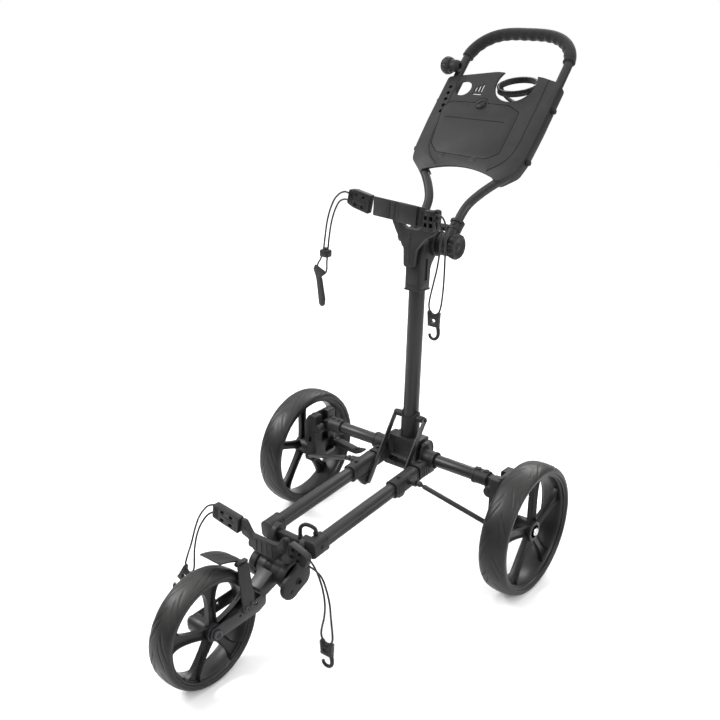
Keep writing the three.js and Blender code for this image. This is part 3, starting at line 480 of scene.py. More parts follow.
    def _combine(self, tool: "Clay", operation: str, keep: bool) -> "Clay":
        """Run one exact boolean between two clays.

        Args:
            tool: The other clay.
            operation: The boolean's name.
            keep: Leave the tool usable.

        Returns:
            This clay.
        """
        objects = []
        for clay in (self, tool):
            mesh = bpy.data.meshes.new("boolean")
            clay.bm.to_mesh(mesh)
            made = bpy.data.objects.new("boolean", mesh)
            bpy.context.scene.collection.objects.link(made)
            objects.append(made)
        modifier = objects[0].modifiers.new("cut", "BOOLEAN")
        modifier.operation = operation
        modifier.solver = "EXACT"
        modifier.use_self = True
        modifier.object = objects[1]
        bpy.context.view_layer.update()
        graph = bpy.context.evaluated_depsgraph_get()
        result = bpy.data.meshes.new_from_object(objects[0].evaluated_get(graph))
        self.bm.clear()
        self.bm.from_mesh(result)
        bpy.data.meshes.remove(result)
        for made in objects:
            mesh = made.data
            bpy.data.objects.remove(made)
            bpy.data.meshes.remove(mesh)
        if not keep:
            tool.bm.free()
        return self


# ---- Shader groups ------------------------------------------------------------------------------------
class GroupBuilder:
    """A shader node group with named sockets, built once and used in several materials."""

    def __init__(self, name: str, inputs: dict[str, float], outputs: Iterable[str]) -> None:
        """Create the group and its sockets.

        Args:
            name: The group's name.
            inputs: Float inputs with their defaults.
            outputs: Float outputs.
        """
        self.tree = bpy.data.node_groups.new(name, "ShaderNodeTree")
        vector = self.tree.interface.new_socket(name="Vector", in_out="INPUT", socket_type="NodeSocketVector")
        vector.hide_value = True
        for word, value in inputs.items():
            socket = self.tree.interface.new_socket(name=word, in_out="INPUT", socket_type="NodeSocketFloat")
            socket.default_value = value
        for word in outputs:
            self.tree.interface.new_socket(name=word, in_out="OUTPUT", socket_type="NodeSocketFloat")
        self.start = self.tree.nodes.new("NodeGroupInput")
        self.end = self.tree.nodes.new("NodeGroupOutput")

    def node(self, kind: str, settings: dict[str, object] | None = None,
             links: dict[str | int, object] | None = None) -> bpy.types.Node:
        """Add a node to the group.

        Args:
            kind: The node's type.
            settings: Properties to set on it.
            links: Input sockets, each with a value or the socket that feeds it.

        Returns:
            The node.
        """
        return add_node(self.tree, kind, settings, links)

    def give(self, word: str, socket: bpy.types.NodeSocket) -> None:
        """Connect a socket to one of the group's outputs."""
        self.tree.links.new(socket, self.end.inputs[word])


def add_node(tree: bpy.types.NodeTree, kind: str, settings: dict[str, object] | None = None,
             links: dict[str | int, object] | None = None) -> bpy.types.Node:
    """Add one node to a tree, set it and feed it.

    Args:
        tree: The node tree.
        kind: The node's type.
        settings: Properties to set on it.
        links: Input sockets, each with a value or the socket that feeds it.

    Returns:
        The node.
    """
    node = tree.nodes.new(kind)
    for word, value in (settings or {}).items():
        setattr(node, word, value)
    for word, value in (links or {}).items():
        if isinstance(value, bpy.types.NodeSocket):
            tree.links.new(value, node.inputs[word])
        else:
            node.inputs[word].default_value = value
    return node


def grain_group() -> bpy.types.NodeTree:
    """Build the fine moulded or sprayed grain.

    Returns:
        A group whose Height is the grain and whose Cloud is a slow variation.
    """
    group = GroupBuilder("Surface grain", {"Scale": 900.0, "Cloud scale": 9.0}, ("Height", "Cloud"))
    fine = group.node("ShaderNodeTexNoise", {"noise_dimensions": "3D"}, {
        "Vector": group.start.outputs["Vector"], "Scale": group.start.outputs["Scale"], "Detail": 3.0,
        "Roughness": 0.6,
    })
    cloud = group.node("ShaderNodeTexNoise", {"noise_dimensions": "3D"}, {
        "Vector": group.start.outputs["Vector"], "Scale": group.start.outputs["Cloud scale"], "Detail": 2.0,
    })
    group.give("Height", fine.outputs["Fac"])
    group.give("Cloud", cloud.outputs["Fac"])
    return group.tree


def wear_group() -> bpy.types.NodeTree:
    """Build the lighter outer edges: rubbed wear together with a painted edge highlight.

    Returns:
        A group whose Mask is high on outer edges, broken up by noise.
    """
    # The edge mask lightens outer edges: a painted highlight along with rubbed wear.
    group = GroupBuilder("Edge wear", {"Start": 0.53, "End": 0.62}, ("Mask",))
    shape = group.node("ShaderNodeNewGeometry")
    ramp = group.node("ShaderNodeMapRange", {"clamp": True}, {
        "Value": shape.outputs["Pointiness"], "From Min": group.start.outputs["Start"],
        "From Max": group.start.outputs["End"],
    })
    patch = group.node("ShaderNodeTexNoise", None, {
        "Vector": group.start.outputs["Vector"], "Scale": 45.0, "Detail": 4.0, "Roughness": 0.65,
    })
    broken = group.node("ShaderNodeMath", {"operation": "MULTIPLY"},
                        {0: ramp.outputs[0], 1: patch.outputs["Fac"]})
    group.give("Mask", broken.outputs[0])
    return group.tree


def dust_group() -> bpy.types.NodeTree:
    """Build the light dust that settles on upward faces.

    Returns:
        A group whose Mask is high where dust lies.
    """
    group = GroupBuilder("Settled dust", {"Amount": 0.2}, ("Mask",))
    shape = group.node("ShaderNodeNewGeometry")
    split = group.node("ShaderNodeSeparateXYZ", None, {0: shape.outputs["Normal"]})
    upward = group.node("ShaderNodeMapRange", {"clamp": True}, {
        "Value": split.outputs["Z"], "From Min": 0.25, "From Max": 1.0,
    })
    drift = group.node("ShaderNodeTexNoise", None, {
        "Vector": group.start.outputs["Vector"], "Scale": 28.0, "Detail": 5.0, "Roughness": 0.7,
    })
    both = group.node("ShaderNodeMath", {"operation": "MULTIPLY"},
                      {0: upward.outputs[0], 1: drift.outputs["Fac"]})
    scaled = group.node("ShaderNodeMath", {"operation": "MULTIPLY"}, {
        0: both.outputs[0], 1: group.start.outputs["Amount"],
    })
    group.give("Mask", scaled.outputs[0])
    return group.tree


def weave_group() -> bpy.types.NodeTree:
    """Build a plain weave from two crossing sets of threads.

    Returns:
        A group whose Height is the weave and whose Thread tells warp from weft.
    """
    group = GroupBuilder("Webbing weave", {"Threads": 900.0}, ("Height", "Thread"))
    warp = group.node("ShaderNodeTexWave", {"wave_type": "BANDS", "bands_direction": "X"}, {
        "Vector": group.start.outputs["Vector"], "Scale": group.start.outputs["Threads"], "Distortion": 0.4,
        "Detail": 1.0,
    })
    weft = group.node("ShaderNodeTexWave", {"wave_type": "BANDS", "bands_direction": "Z"}, {
        "Vector": group.start.outputs["Vector"], "Scale": group.start.outputs["Threads"], "Distortion": 0.4,
        "Detail": 1.0,
    })
    both = group.node("ShaderNodeMath", {"operation": "MULTIPLY"},
                      {0: warp.outputs["Fac"], 1: weft.outputs["Fac"]})
    group.give("Height", both.outputs[0])
    group.give("Thread", warp.outputs["Fac"])
    return group.tree


def braid_group() -> bpy.types.NodeTree:
    """Build the crossing threads of a braided cord from its thread attribute.

    Returns:
        A group whose Height is the braid and whose Fleck marks single light threads.
    """
    group = GroupBuilder("Cord braid", {"Pitch": 1400.0, "Strands": 4.0}, ("Height", "Fleck"))
    split = group.node("ShaderNodeSeparateXYZ", None, {0: group.start.outputs["Vector"]})
    angle = group.node("ShaderNodeMath", {"operation": "ARCTAN2"},
                       {0: split.outputs["Y"], 1: split.outputs["X"]})
    turns = group.node("ShaderNodeMath", {"operation": "MULTIPLY"}, {
        0: angle.outputs[0], 1: group.start.outputs["Strands"],
    })
    along = group.node("ShaderNodeMath", {"operation": "MULTIPLY"}, {
        0: split.outputs["Z"], 1: group.start.outputs["Pitch"],
    })
    waves = []
    for operation in ("ADD", "SUBTRACT"):
        phase = group.node("ShaderNodeMath", {"operation": operation},
                           {0: along.outputs[0], 1: turns.outputs[0]})
        waves.append(group.node("ShaderNodeMath", {"operation": "SINE"}, {0: phase.outputs[0]}))
    height = group.node("ShaderNodeMath", {"operation": "MULTIPLY"},
                        {0: waves[0].outputs[0], 1: waves[1].outputs[0]})
    fleck = group.node("ShaderNodeMapRange", {"clamp": True}, {
        "Value": waves[0].outputs[0], "From Min": 0.75, "From Max": 0.95,
    })
    group.give("Height", height.outputs[0])
    group.give("Fleck", fleck.outputs[0])
    return group.tree


def pore_group() -> bpy.types.NodeTree:
    """Build the open cells of foam rubber.

    Returns:
        A group whose Height is the cell pattern.
    """
    group = GroupBuilder("Foam pores", {"Cells": 620.0}, ("Height",))
    cells = group.node("ShaderNodeTexVoronoi", {"feature": "SMOOTH_F1"}, {
        "Vector": group.start.outputs["Vector"], "Scale": group.start.outputs["Cells"], "Smoothness": 0.5,
    })
    group.give("Height", cells.outputs["Distance"])
    return group.tree


@dataclass(frozen=True)
class Groups:
    """The shared shader groups."""

    grain: bpy.types.NodeTree
    # Lighter outer edges: rubbed wear and a painted edge highlight.
    wear: bpy.types.NodeTree
    dust: bpy.types.NodeTree
    weave: bpy.types.NodeTree
    braid: bpy.types.NodeTree
    pores: bpy.types.NodeTree

    @classmethod
    def build(cls) -> "Groups":
        """Build every group once."""
        return cls(grain_group(), wear_group(), dust_group(), weave_group(), braid_group(), pore_group())


# ---- Finishes -----------------------------------------------------------------------------------------
class Pattern(Enum):
    """The relief that a finish carries."""

    GRAIN = "grain"
    WEAVE = "weave"
    BRAID = "braid"
    PORES = "pores"


@dataclass(frozen=True)
class Finish:
    """One finish: a dark base with its own relief, lighter outer edges that are rubbed wear and a painted
    highlight, and dust.
    """

    name: str
    color: tuple[float, float, float]
    # Colour of the outer edges: rubbed wear and a painted edge highlight.
    worn: tuple[float, float, float]
    roughness: float
    spread: float = 0.12
    metallic: float = 0.0
    pattern: Pattern = Pattern.GRAIN
    scale: float = 900.0
    relief: float = 0.00008
    strength: float = 0.35
    # How far outer edges go to that colour: rubbed wear and a painted edge highlight.
    wear: float = 0.5
    dust: float = 0.12
    sheen: float = 0.0
    specular: float = 0.27
    coat: float = 0.0

    def build(self, groups: Groups) -> bpy.types.Material:
        """Make the material.

        Args:
            groups: The shared shader groups.

        Returns:
            The material.
        """
        material = bpy.data.materials.new(self.name)
        material.use_nodes = True
        tree = material.node_tree
        tree.nodes.clear()
        place = add_node(tree, "ShaderNodeTexCoord").outputs["Object"]
        grain = self._use(tree, groups.grain, place, {"Scale": self.scale})
        # Edge mask for the lighter outer edges, a painted highlight along with rubbed wear.
        wear = self._use(tree, groups.wear, place, {})
        dust = self._use(tree, groups.dust, place, {"Amount": self.dust})
        height = self._relief(tree, groups, place, grain)

        tone = add_node(tree, "ShaderNodeMapRange", None, {
            "Value": grain.outputs["Cloud"], "From Min": 0.3, "From Max": 0.7, "To Min": 0.78, "To Max": 1.22,
        })
        base = add_node(tree, "ShaderNodeMix", {"data_type": "RGBA", "blend_type": "MULTIPLY"}, {
            0: 1.0, 6: (*self.color, 1.0), 7: tone.outputs[0],
        })
        # Mix outer edges towards the lighter edge colour: painted edge highlight and rubbed wear.
        edge = add_node(tree, "ShaderNodeMath", {"operation": "MULTIPLY"},
                        {0: wear.outputs["Mask"], 1: self.wear})
        rubbed_and_highlighted = add_node(tree, "ShaderNodeMix", {"data_type": "RGBA"}, {
            0: edge.outputs[0], 6: base.outputs[2], 7: (*self.worn, 1.0),
        })
        dusty = add_node(tree, "ShaderNodeMix", {"data_type": "RGBA"}, {
            0: dust.outputs["Mask"], 6: rubbed_and_highlighted.outputs[2], 7: (0.2, 0.19, 0.18, 1.0),
        })
        rough = add_node(tree, "ShaderNodeMapRange", None, {
            "Value": grain.outputs["Cloud"], "From Min": 0.25, "From Max": 0.75,
            "To Min": self.roughness - self.spread / 2, "To Max": self.roughness + self.spread / 2,
        })
        bump = add_node(tree, "ShaderNodeBump", None, {
            "Strength": self.strength, "Distance": self.relief, "Height": height,
        })
        shader = add_node(tree, "ShaderNodeBsdfPrincipled", None, {
            "Base Color": dusty.outputs[2], "Roughness": rough.outputs[0], "Metallic": self.metallic,
            "Normal": bump.outputs[0], "Sheen Weight": self.sheen, "Sheen Roughness": 0.4,
            "Specular IOR Level": self.specular, "Coat Weight": self.coat, "Coat Roughness": 0.25,
        })
        add_node(tree, "ShaderNodeOutputMaterial", None, {"Surface": shader.outputs[0]})
        return material

    def _relief(self, tree: bpy.types.NodeTree, groups: Groups, place: bpy.types.NodeSocket,
                grain: bpy.types.Node) -> bpy.types.NodeSocket:
        """Pick the height pattern.

        Args:
            tree: The material's tree.
            groups: The shared groups.
            place: Object coordinates.
            grain: The grain already in the tree.

        Returns:
            The socket that feeds the bump.
        """
        if self.pattern is Pattern.WEAVE:
            return self._use(tree, groups.weave, place, {"Threads": self.scale}).outputs["Height"]
        if self.pattern is Pattern.BRAID:
            thread = add_node(tree, "ShaderNodeAttribute", {"attribute_name": "thread"})
            return self._use(tree, groups.braid, thread.outputs["Vector"], {}).outputs["Height"]
        if self.pattern is Pattern.PORES:
            return self._use(tree, groups.pores, place, {"Cells": self.scale}).outputs["Height"]
        return grain.outputs["Height"]

    @staticmethod
    def _use(tree: bpy.types.NodeTree, group: bpy.types.NodeTree, vector: bpy.types.NodeSocket,
             values: dict[str, float]) -> bpy.types.Node:
        """Place a shared group with its own values.

        Args:
            tree: The material's tree.
            group: The group.
            vector: What feeds its Vector.
            values: Values for its other inputs.

        Returns:
            The group node.
        """
        return add_node(tree, "ShaderNodeGroup", {"node_tree": group}, {"Vector": vector, **values})


# Each finish's second colour and its wear amount give the lighter outer edges: rubbed wear and a painted edge
# highlight.
FINISHES = {
    "painted_alloy": Finish("Satin black paint", (0.01155, 0.01155, 0.01265), (0.045, 0.045, 0.0475), 0.42,
                            scale=520.0,
                            relief=0.00005, strength=0.18, wear=0.35, coat=0.12),
    "moulded_black": Finish("Moulded black plastic", (0.007425, 0.007425, 0.007975), (0.03, 0.03, 0.0325),
                            0.5,
                            scale=1300.0, relief=0.00009, strength=0.4),
    "rim_plastic": Finish("Rim plastic", (0.00605, 0.00605, 0.0066), (0.035, 0.035, 0.0375), 0.4, scale=900.0,
                          relief=0.00006, strength=0.25, wear=0.6),
    "tyre_rubber": Finish("Tyre rubber", (0.00715, 0.00715, 0.007425), (0.025, 0.025, 0.025), 0.42,
                          spread=0.2, scale=420.0,
                          relief=0.0001, strength=0.3, wear=0.5, dust=0.2),
    "foam": Finish("Grip foam", (0.0088, 0.0088, 0.00935), (0.025, 0.025, 0.026), 0.85, pattern=Pattern.PORES,
                   scale=620.0, relief=0.0004, strength=0.6, sheen=0.25, specular=0.25),
    "cable_sheath": Finish("Cable sheath", (0.0066, 0.0066, 0.00715), (0.025, 0.025, 0.026), 0.38,
                           scale=700.0,
                           relief=0.00004, strength=0.2),
    "buckle_plastic": Finish("Buckle plastic", (0.0066, 0.0066, 0.00715), (0.04, 0.04, 0.0425), 0.42,
                             scale=1100.0,
                             relief=0.00006, strength=0.3, wear=0.6),
    "webbing": Finish("Strap webbing", (0.0066, 0.0066, 0.007425), (0.025, 0.025, 0.0275), 0.8,
                      pattern=Pattern.WEAVE,
                      scale=260.0, relief=0.0005, strength=0.7, sheen=0.35, specular=0.3),
    "elastic_cord": Finish("Elastic cord", (0.0077, 0.0077, 0.008525), (0.025, 0.025, 0.0275), 0.72,
                           pattern=Pattern.BRAID, scale=700.0, relief=0.0004, strength=0.8, sheen=0.3,
                           specular=0.3),
    "steel": Finish("Zinc plated steel", (0.55, 0.56, 0.58), (0.8, 0.8, 0.82), 0.3, spread=0.2, metallic=1.0,
                    scale=800.0, relief=0.00005, strength=0.25, wear=0.8, dust=0.05),
}
DARK_STEEL = Finish("Blackened steel", (0.025, 0.025, 0.0275), (0.3, 0.3, 0.32), 0.35, spread=0.16,
                    metallic=0.8,
                    scale=800.0, relief=0.00005, strength=0.25, wear=0.7, dust=0.05)


# ---- Workshop -----------------------------------------------------------------------------------------
@dataclass
class Workshop:
    """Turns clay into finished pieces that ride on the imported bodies."""

    to_row: Matrix
    body_of: dict[str, str]
    slot_of: dict[str, str]
    materials: dict[str, bpy.types.Material]
    made: int = 0

    @classmethod
    def open(cls) -> "Workshop":
        """Read the frame's bodies and slots and mix the finishes.

        Returns:
            The workshop.
        """
        record = frame["record"]
        low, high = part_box("rear_tyre_left")
        axle = (low.y + high.y) / 2
        groups = Groups.build()
        materials = {slot: finish.build(groups) for slot, finish in FINISHES.items()}
        materials["dark_steel"] = DARK_STEEL.build(groups)
        bodies = {node: body for body, nodes in record["behaviour"]["bodies"].items() for node in nodes}
        slots = {part["node"]: part["material_slot"] for part in record["subparts"]}
        return cls(Matrix.Translation((0, axle, 0)) @ Matrix.Scale(MM, 4), bodies, slots, materials)

    def finish(self, clay: Clay, name: str, *nodes: str, body: str = "", slot: str = "", look: str = "",
               smooth: float = 35) -> Piece:
        """Turn clay into a piece in its place.

        Args:
            clay: What was modelled.
            name: The piece's name.
            nodes: The CAD nodes that it stands for.
            body: The body that it rides on, when it stands for no node.
            slot: The material slot, when it stands for no node.
            look: Another finish than the slot's own.
            smooth: Edges that turn less than this many degrees are shaded smooth.

        Returns:
            The piece.
        """
        clay.bm.transform(self.to_row @ clay.place)
        thread = clay.bm.verts.layers.float_vector.get("thread")
        if thread is not None:
            for vert in clay.bm.verts:
                cos, sin, along = vert[thread]
                vert[thread] = (cos, sin, along * MM)
        bmesh.ops.remove_doubles(clay.bm, verts=clay.bm.verts, dist=1e-7)
        if (clay.place.to_3x3()).determinant() < 0:
            bmesh.ops.reverse_faces(clay.bm, faces=clay.bm.faces)
        mesh = bpy.data.meshes.new(name)
        clay.bm.to_mesh(mesh)
        clay.bm.free()
        mesh.polygons.foreach_set("use_smooth", [True] * len(mesh.polygons))
        mesh.set_sharp_from_angle(angle=math.radians(smooth))
        piece = bpy.data.objects.new(name, mesh)
        bpy.context.scene.collection.objects.link(piece)
        chosen = slot or self.slot_of[nodes[0]]
        mesh.materials.append(self.materials[look or chosen])
        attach(piece, body or self.body_of[nodes[0]])
        if nodes:
            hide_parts(*nodes)
        self.made += 1
        LOG.info("%s: %d faces", name, len(mesh.polygons))
        return piece


# ---- Places on the cart -------------------------------------------------------------------------------
@dataclass(frozen=True)
class Layout:
    """Sizes that several sub-assemblies share."""

    gap: float = 0.3
    rear_radius: float = 147
    wheel_x: float = 314
    front_radius: float = 117.4
    ahead: float = 644
    rail_x: float = 59
    rail_slope: float = 3.9
    rail_z: float = 221
    mast_lean: float = 2.3
    mast_y: float = 5
    mast_z: float = 250
    hinge_y: float = 36.2
    hinge_z: float = 468.8
    handle_angle: float = 47.15
    head_y: float = -450
    rail_front_y: float = -394

    @property
    def head_z(self) -> float:
        """Height of the fork's hinge."""
        return self.rail_height(self.rail_front_y) - 47

    def rail_height(self, y: float) -> float:
        """Give the height of a rail's middle at a place along the cart."""
        return self.rail_z + y * math.tan(math.radians(self.rail_slope))

    def along_rail(self, y: float) -> float:
        """Turn a place along the cart into one along a rail."""
        return y / math.cos(math.radians(self.rail_slope))

    @property
    def mast(self) -> Matrix:
        """The mast's frame."""
        return Matrix.Translation((0, self.mast_y, self.mast_z)) @ Matrix.Rotation(
            -math.radians(self.mast_lean), 4, "X")

    @property
    def handle(self) -> Matrix:
        """The handle's frame: Y runs up the handle and Z out of the console."""
        turn = Matrix.Rotation(math.radians(self.handle_angle + self.mast_lean), 4, "X")
        return self.mast @ Matrix.Translation((0, self.hinge_y, self.hinge_z)) @ turn

    def rail(self, side: Side) -> Matrix:
        """Give the frame of one rail, with Y along it."""
        turn = Matrix.Rotation(math.radians(self.rail_slope), 4, "X")
        return side.mirror @ Matrix.Translation((self.rail_x, 0, self.rail_z)) @ turn


LAY = Layout()


# ---- Wheels -------------------------------------------------------------------------------------------
@dataclass
class Wheel:
    """A deep-rimmed wheel with a grooved tyre and five channelled spokes."""

    name: str
    tyre_node: str
    rim_node: str
    place: Matrix
    radius: float
    width: float
    rim_radius: float
    rim_width: float
    wall: float
    hub_radius: float
    hub_out: float
    hub_in: float
    turns: int = 360
    flames: int = 11
    groove_depth: float = 1.7
    spoke_depth: float = 11

    def tread(self, point: Vector) -> Vector:
        """Sink the curling grooves into a point of the tyre.

        Args:
            point: A point with the axle along Z.

        Returns:
            The point, moved towards the axle where a groove passes.
        """
        half = self.width / 2
        reach = math.hypot(point.x, point.y)
        if reach < self.radius - 17:
            return point
        side = 0.0 if point.z > 0 else 0.5
        share = (math.atan2(point.y, point.x) / FULL_TURN * self.flames + side) % 1.0
        across = abs(point.z) / half
        depth = 0.0
        for start, stop, low, high, thick in ((0.04, 0.80, 0.20, 0.93, 0.040),
                                              (0.30, 0.97, 0.14, 0.66, 0.032)):
            if start < share < stop:
                t = (share - start) / (stop - start)
                line = low + (high - low) * (t * t * (3 - 2 * t))
                fade = min(1.0, 6 * t, 6 * (1 - t))
                depth = max(depth, fade * math.exp(-(((across - line) / thick) ** 2)))
        scale = 1 - self.groove_depth * depth / reach
        return Vector((point.x * scale, point.y * scale, point.z))

    def tyre(self) -> Clay:
        """Model the tyre."""
        half = self.width / 2
        low = self.rim_radius + 2.2
        profile: list[Flat] = []
        count = 46
        for i in range(count + 1):
            angle = math.pi * (i / count - 0.5)
            crown = low + (self.radius - low) * max(math.cos(angle), 0.0) ** 0.52
            profile.append((crown, half * math.sin(angle)))
        rim = self.rim_width / 2
        inner = self.rim_radius + LAY.gap
        profile += [(inner, rim), (inner, rim * 0.5), (inner, -rim * 0.5), (inner, -rim)]
        return Clay(self.place).turned(profile, self.turns, shape=self.tread)

    def rim(self) -> Clay:
        """Model the rim, its spokes and its hub."""
        half = self.rim_width / 2
        inner = self.rim_radius - self.wall
        edge = self.rim_radius - 3.6
        half_ring = [
            (self.rim_radius, half), (edge, half), (edge - 0.9, half - 0.8), (edge - 0.9, half - 4.0),
            (edge - 3.2, half - 5.4), (inner + 1.0, half - 7.5), (inner, half - 12), (inner - 1.6, 6),
        ]
        ring = half_ring + [(r, -x) for r, x in reversed(half_ring)]
        clay = Clay(self.place).turned(ring, 128)
        clay.drum(Axis.X, self.hub_radius, -self.hub_in, self.hub_out, sides=64, soft=2.2)
        clay.drum(Axis.X, self.hub_radius * 0.72, self.hub_out - 3, self.hub_out + 0.0, sides=48, soft=1.0)
        high = self.hub_out - 4
        low = high - self.spoke_depth
        span = inner + 4 - self.hub_radius * 0.5
        flare = ((0.0, 12.5), (0.12, 10.6), (0.28, 9.4), (0.45, 9.0), (0.62, 9.6), (0.76, 11.2), (0.86, 13.8),
                 (0.94, 17.8), (1.0, 23.0))
        right = [(w, self.hub_radius * 0.5 + span * t) for t, w in flare]
        outline = smooth_flat(right + [(-w, s) for w, s in reversed(right)])
        for i in range(5):
            turn = Matrix.Rotation(FULL_TURN * i / 5, 4, "X")
            clay.plate(outline, Plane.YZ, low, high, soft=0.8, pocket=(3.2, 7.0), both=False, move=turn)
        for i in range(5):
            turn = Matrix.Rotation(FULL_TURN * i / 5, 4, "X")
            rib = [(-1.4, self.hub_radius - 4), (1.4, self.hub_radius - 4), (1.4, inner + 2),
                   (-1.4, inner + 2)]
            clay.plate(rib, Plane.YZ, low - 6, low + 2, soft=0.5, move=turn)
        return clay

    def build(self, shop: Workshop) -> None:
        """Make the tyre and the rim."""
        shop.finish(self.tyre(), f"{self.name}_tyre_tread", self.tyre_node, smooth=60)
        shop.finish(self.rim(), f"{self.name}_rim_spokes", self.rim_node)


def smooth_flat(points: Sequence[Flat], per_span: int = 3) -> list[Flat]:
    """Run a smooth curve through the points of a flat, open outline."""
    return [(p.x, p.y) for p in smooth_path([(a, b, 0.0) for a, b in points], per_span)]


@dataclass
class Wheels:
    """The three wheels and what they turn on."""

    spindle: float = 6
    cap: float = 9

    def build(self, shop: Workshop) -> None:
        """Make the wheels and spindles."""
        for side in Side:
            place = side.mirror @ Matrix.Translation((LAY.wheel_x, 0, LAY.rear_radius))
            Wheel(f"rear_{side.word}", f"rear_tyre_{side.word}", f"rear_rim_{side.word}", place,
                  147, 63, 129, 57, 9, 22, 24, 22).build(shop)
            shaft = Clay(place)
            shaft.drum(Axis.X, self.spindle, -52, 25, sides=32)
            shaft.turned([(0, 24.7), (self.cap, 24.7), (self.cap, 26.6), (self.cap - 1.4, 28), (4.4, 28),
                          (3.4, 27.0),
                          (0, 27.0)], 48, closed=False)
            shop.finish(shaft, f"axle_shaft_{side.word}", f"rear_spindle_{side.word}")
        place = Matrix.Translation((0, -LAY.ahead, LAY.front_radius))
        Wheel("front", "front_tyre", "front_rim", place, 117.4, 55, 102, 49, 8, 18, 28, 28, turns=300,
              flames=9).build(shop)
        bolt = Clay(place)
        bolt.drum(Axis.X, self.spindle, -38, 38, sides=32)
        for end in (1, -1):
            flip = Matrix.Diagonal((end, 1, 1, 1))
            bolt.turned([(0, 33.2), (10, 33.2), (10, 36.4), (8.8, 38.7), (5.4, 38.7), (4.6, 37.4), (0, 37.4)],
                        48,
                        closed=False, move=flip)
        shop.finish(bolt, "front_axle_bolt", "front_spindle", look="dark_steel")


# ---- Front end ----------------------------------------------------------------------------------------
@dataclass
class FrontEnd:
    """The folding fork, its fender, the crosshead and the release cable."""

    arm_in: float = 29.3
    arm_out: float = 32.7
    barrel: float = 27
    barrel_half: float = 30
    ear: float = 30
    ear_width: float = 17

    def fork(self) -> Clay:
        """Model the fork."""
        axle = -LAY.ahead
        bend = axle + 127
        z = LAY.front_radius
        outline = [(bend + 5, z - 7), (bend + 5, z + 16), *arc(bend - 8, z + 15, 3, 60, 100, 3)]
        outline = [*arc(axle, z, 14, 90, 270, 20), (axle + 40, z - 14), (bend - 14, z - 13),
                   (bend + 4, z - 6),
                   (bend + 5, z + 6), (bend + 3, z + 15), (bend - 6, z + 18), (bend - 40, z + 16)]
        holes = Clay().drum(Axis.X, 3.2, -60, 60, axle + 62, z + 6, 24, 0).drum(
            Axis.X, 3.2, -60, 60, axle + 106, z + 9, 24, 0)
        clay = Clay()
        for end in (1, -1):
            low, high = sorted((end * self.arm_in, end * self.arm_out))
            clay.plate(outline, Plane.YZ, low, high, soft=0.9)
        clay.carve(holes)
        clay.block(-32.5, 32.5, bend - 1, bend + 6.5, z - 5.5, z + 15, soft=2.4)
        neck = rounded([(bend + 3, z - 8), (bend + 3, z + 18), (LAY.head_y - 14, LAY.head_z + 16),
                        (LAY.head_y, LAY.head_z), (LAY.head_y - 10, LAY.head_z - 22)], 6)
        clay.plate(neck, Plane.YZ, -17, 17, soft=3.0)
        clay.drum(Axis.X, self.barrel, -self.barrel_half, self.barrel_half, LAY.head_y, LAY.head_z, 72, 2.4)
        clay.drum(Axis.X, self.barrel + 0.0, -11, 11, LAY.head_y, LAY.head_z, 72, 0.6)
        return clay

    def fender(self) -> Clay:
        """Model the arched fender, its rolled lips and its bolted stay."""
        clay = Clay(Matrix.Translation((0, -LAY.ahead, LAY.front_radius)))
        arch = [*arc(0, 0, 140.5, 34, 80, 28), *arc(0, 0, 137.2, 80, 34, 28)]
        clay.plate(arch, Plane.YZ, -27, 27, soft=0.9)
        for x in (-25.4, 25.4):
            lip = [Vector((x, 138.4 * math.cos(math.radians(a)), 138.4 * math.sin(math.radians(a))))
                   for a in range(34, 81, 2)]
            clay.swept(lip, lambda share, angle: 2.0, 12, up=(1, 0, 0))
        for angle in (34.5, 79.5):
            y = 138.6 * math.cos(math.radians(angle))
            z = 138.6 * math.sin(math.radians(angle))
            clay.bar((-25.4, y, z), (25.4, y, z), 1.9, 16)
        rib = [*arc(0, 0, 140.9, 40, 74, 20), *arc(0, 0, 139.0, 74, 40, 20)]
        for x in (-9, 9):
            clay.plate(rib, Plane.YZ, x - 1.5, x + 1.5, soft=0.5)
        top = (137 * math.cos(math.radians(58)), 137 * math.sin(math.radians(58)))
        stay = rounded([(68, 3), (100, 7), (top[0] + 15, top[1] - 2), (top[0] - 15, top[1] + 13)], 9, 8)
        clay.plate(stay, Plane.YZ, 33, 36, soft=1.0)
        clay.block(25, 36, top[0] - 14, top[0] + 14, top[1] - 2, top[1] + 5, soft=2.0)
        return clay

    def crosshead(self) -> Clay:
        """Model the crosshead that joins both rails to the fork's hinge."""
        inner = self.barrel_half + 0.5
        outer = inner + self.ear_width
        y, z = LAY.head_y, LAY.head_z
        front = LAY.rail_front_y
        low = LAY.along_rail(front) - 18
        clay = Clay()
        for side in Side:
            clay.drum(Axis.X, self.ear, inner, outer, y, z, 72, 1.8, move=side.mirror)
            clay.drum(Axis.X, self.ear - 5, outer - 1, outer, y, z, 72, 0.2, move=side.mirror)
            web = rounded([(y + 14, z + 22), (y + 4, z - 26), (front + 8, LAY.rail_height(front) - 18),
                           (front + 4, LAY.rail_height(front) + 18),
                           (front - 16, LAY.rail_height(front) + 14)], 7)
            clay.plate(web, Plane.YZ, inner + 2, outer, soft=1.6, pocket=(3.4, 1.6), move=side.mirror)
            frame_in = Matrix.Translation((LAY.rail_x, 0, LAY.rail_z)) @ Matrix.Rotation(
                math.radians(LAY.rail_slope), 4, "X")
            clay.plate(rounded_box(30.6, 38.6, 10.5), Plane.XZ, low, low + 44, soft=1.4,
                       move=side.mirror @ frame_in)
            for at in (low + 38, low + 2):
                clay.plate(rounded_box(31.4, 39.2, 10.8), Plane.XZ, at, at + 4, soft=0.9,
                           move=side.mirror @ frame_in)
            clay.drum(Axis.X, 5, 15, 17.4, low + 24, 0, 32, 0.8, move=side.mirror @ frame_in)
        clay.block(-59, 59, front - 14, front + 2, z + 28, z + 54, soft=3.0)
        for x in (-30, -10, 10, 30):
            clay.block(x - 1.6, x + 1.6, front - 15.4, front - 10, z + 29, z + 53, soft=0.7)
        clay.drum(Axis.X, 4.6, -outer, outer, y, z, 32, 0.4)
        return clay

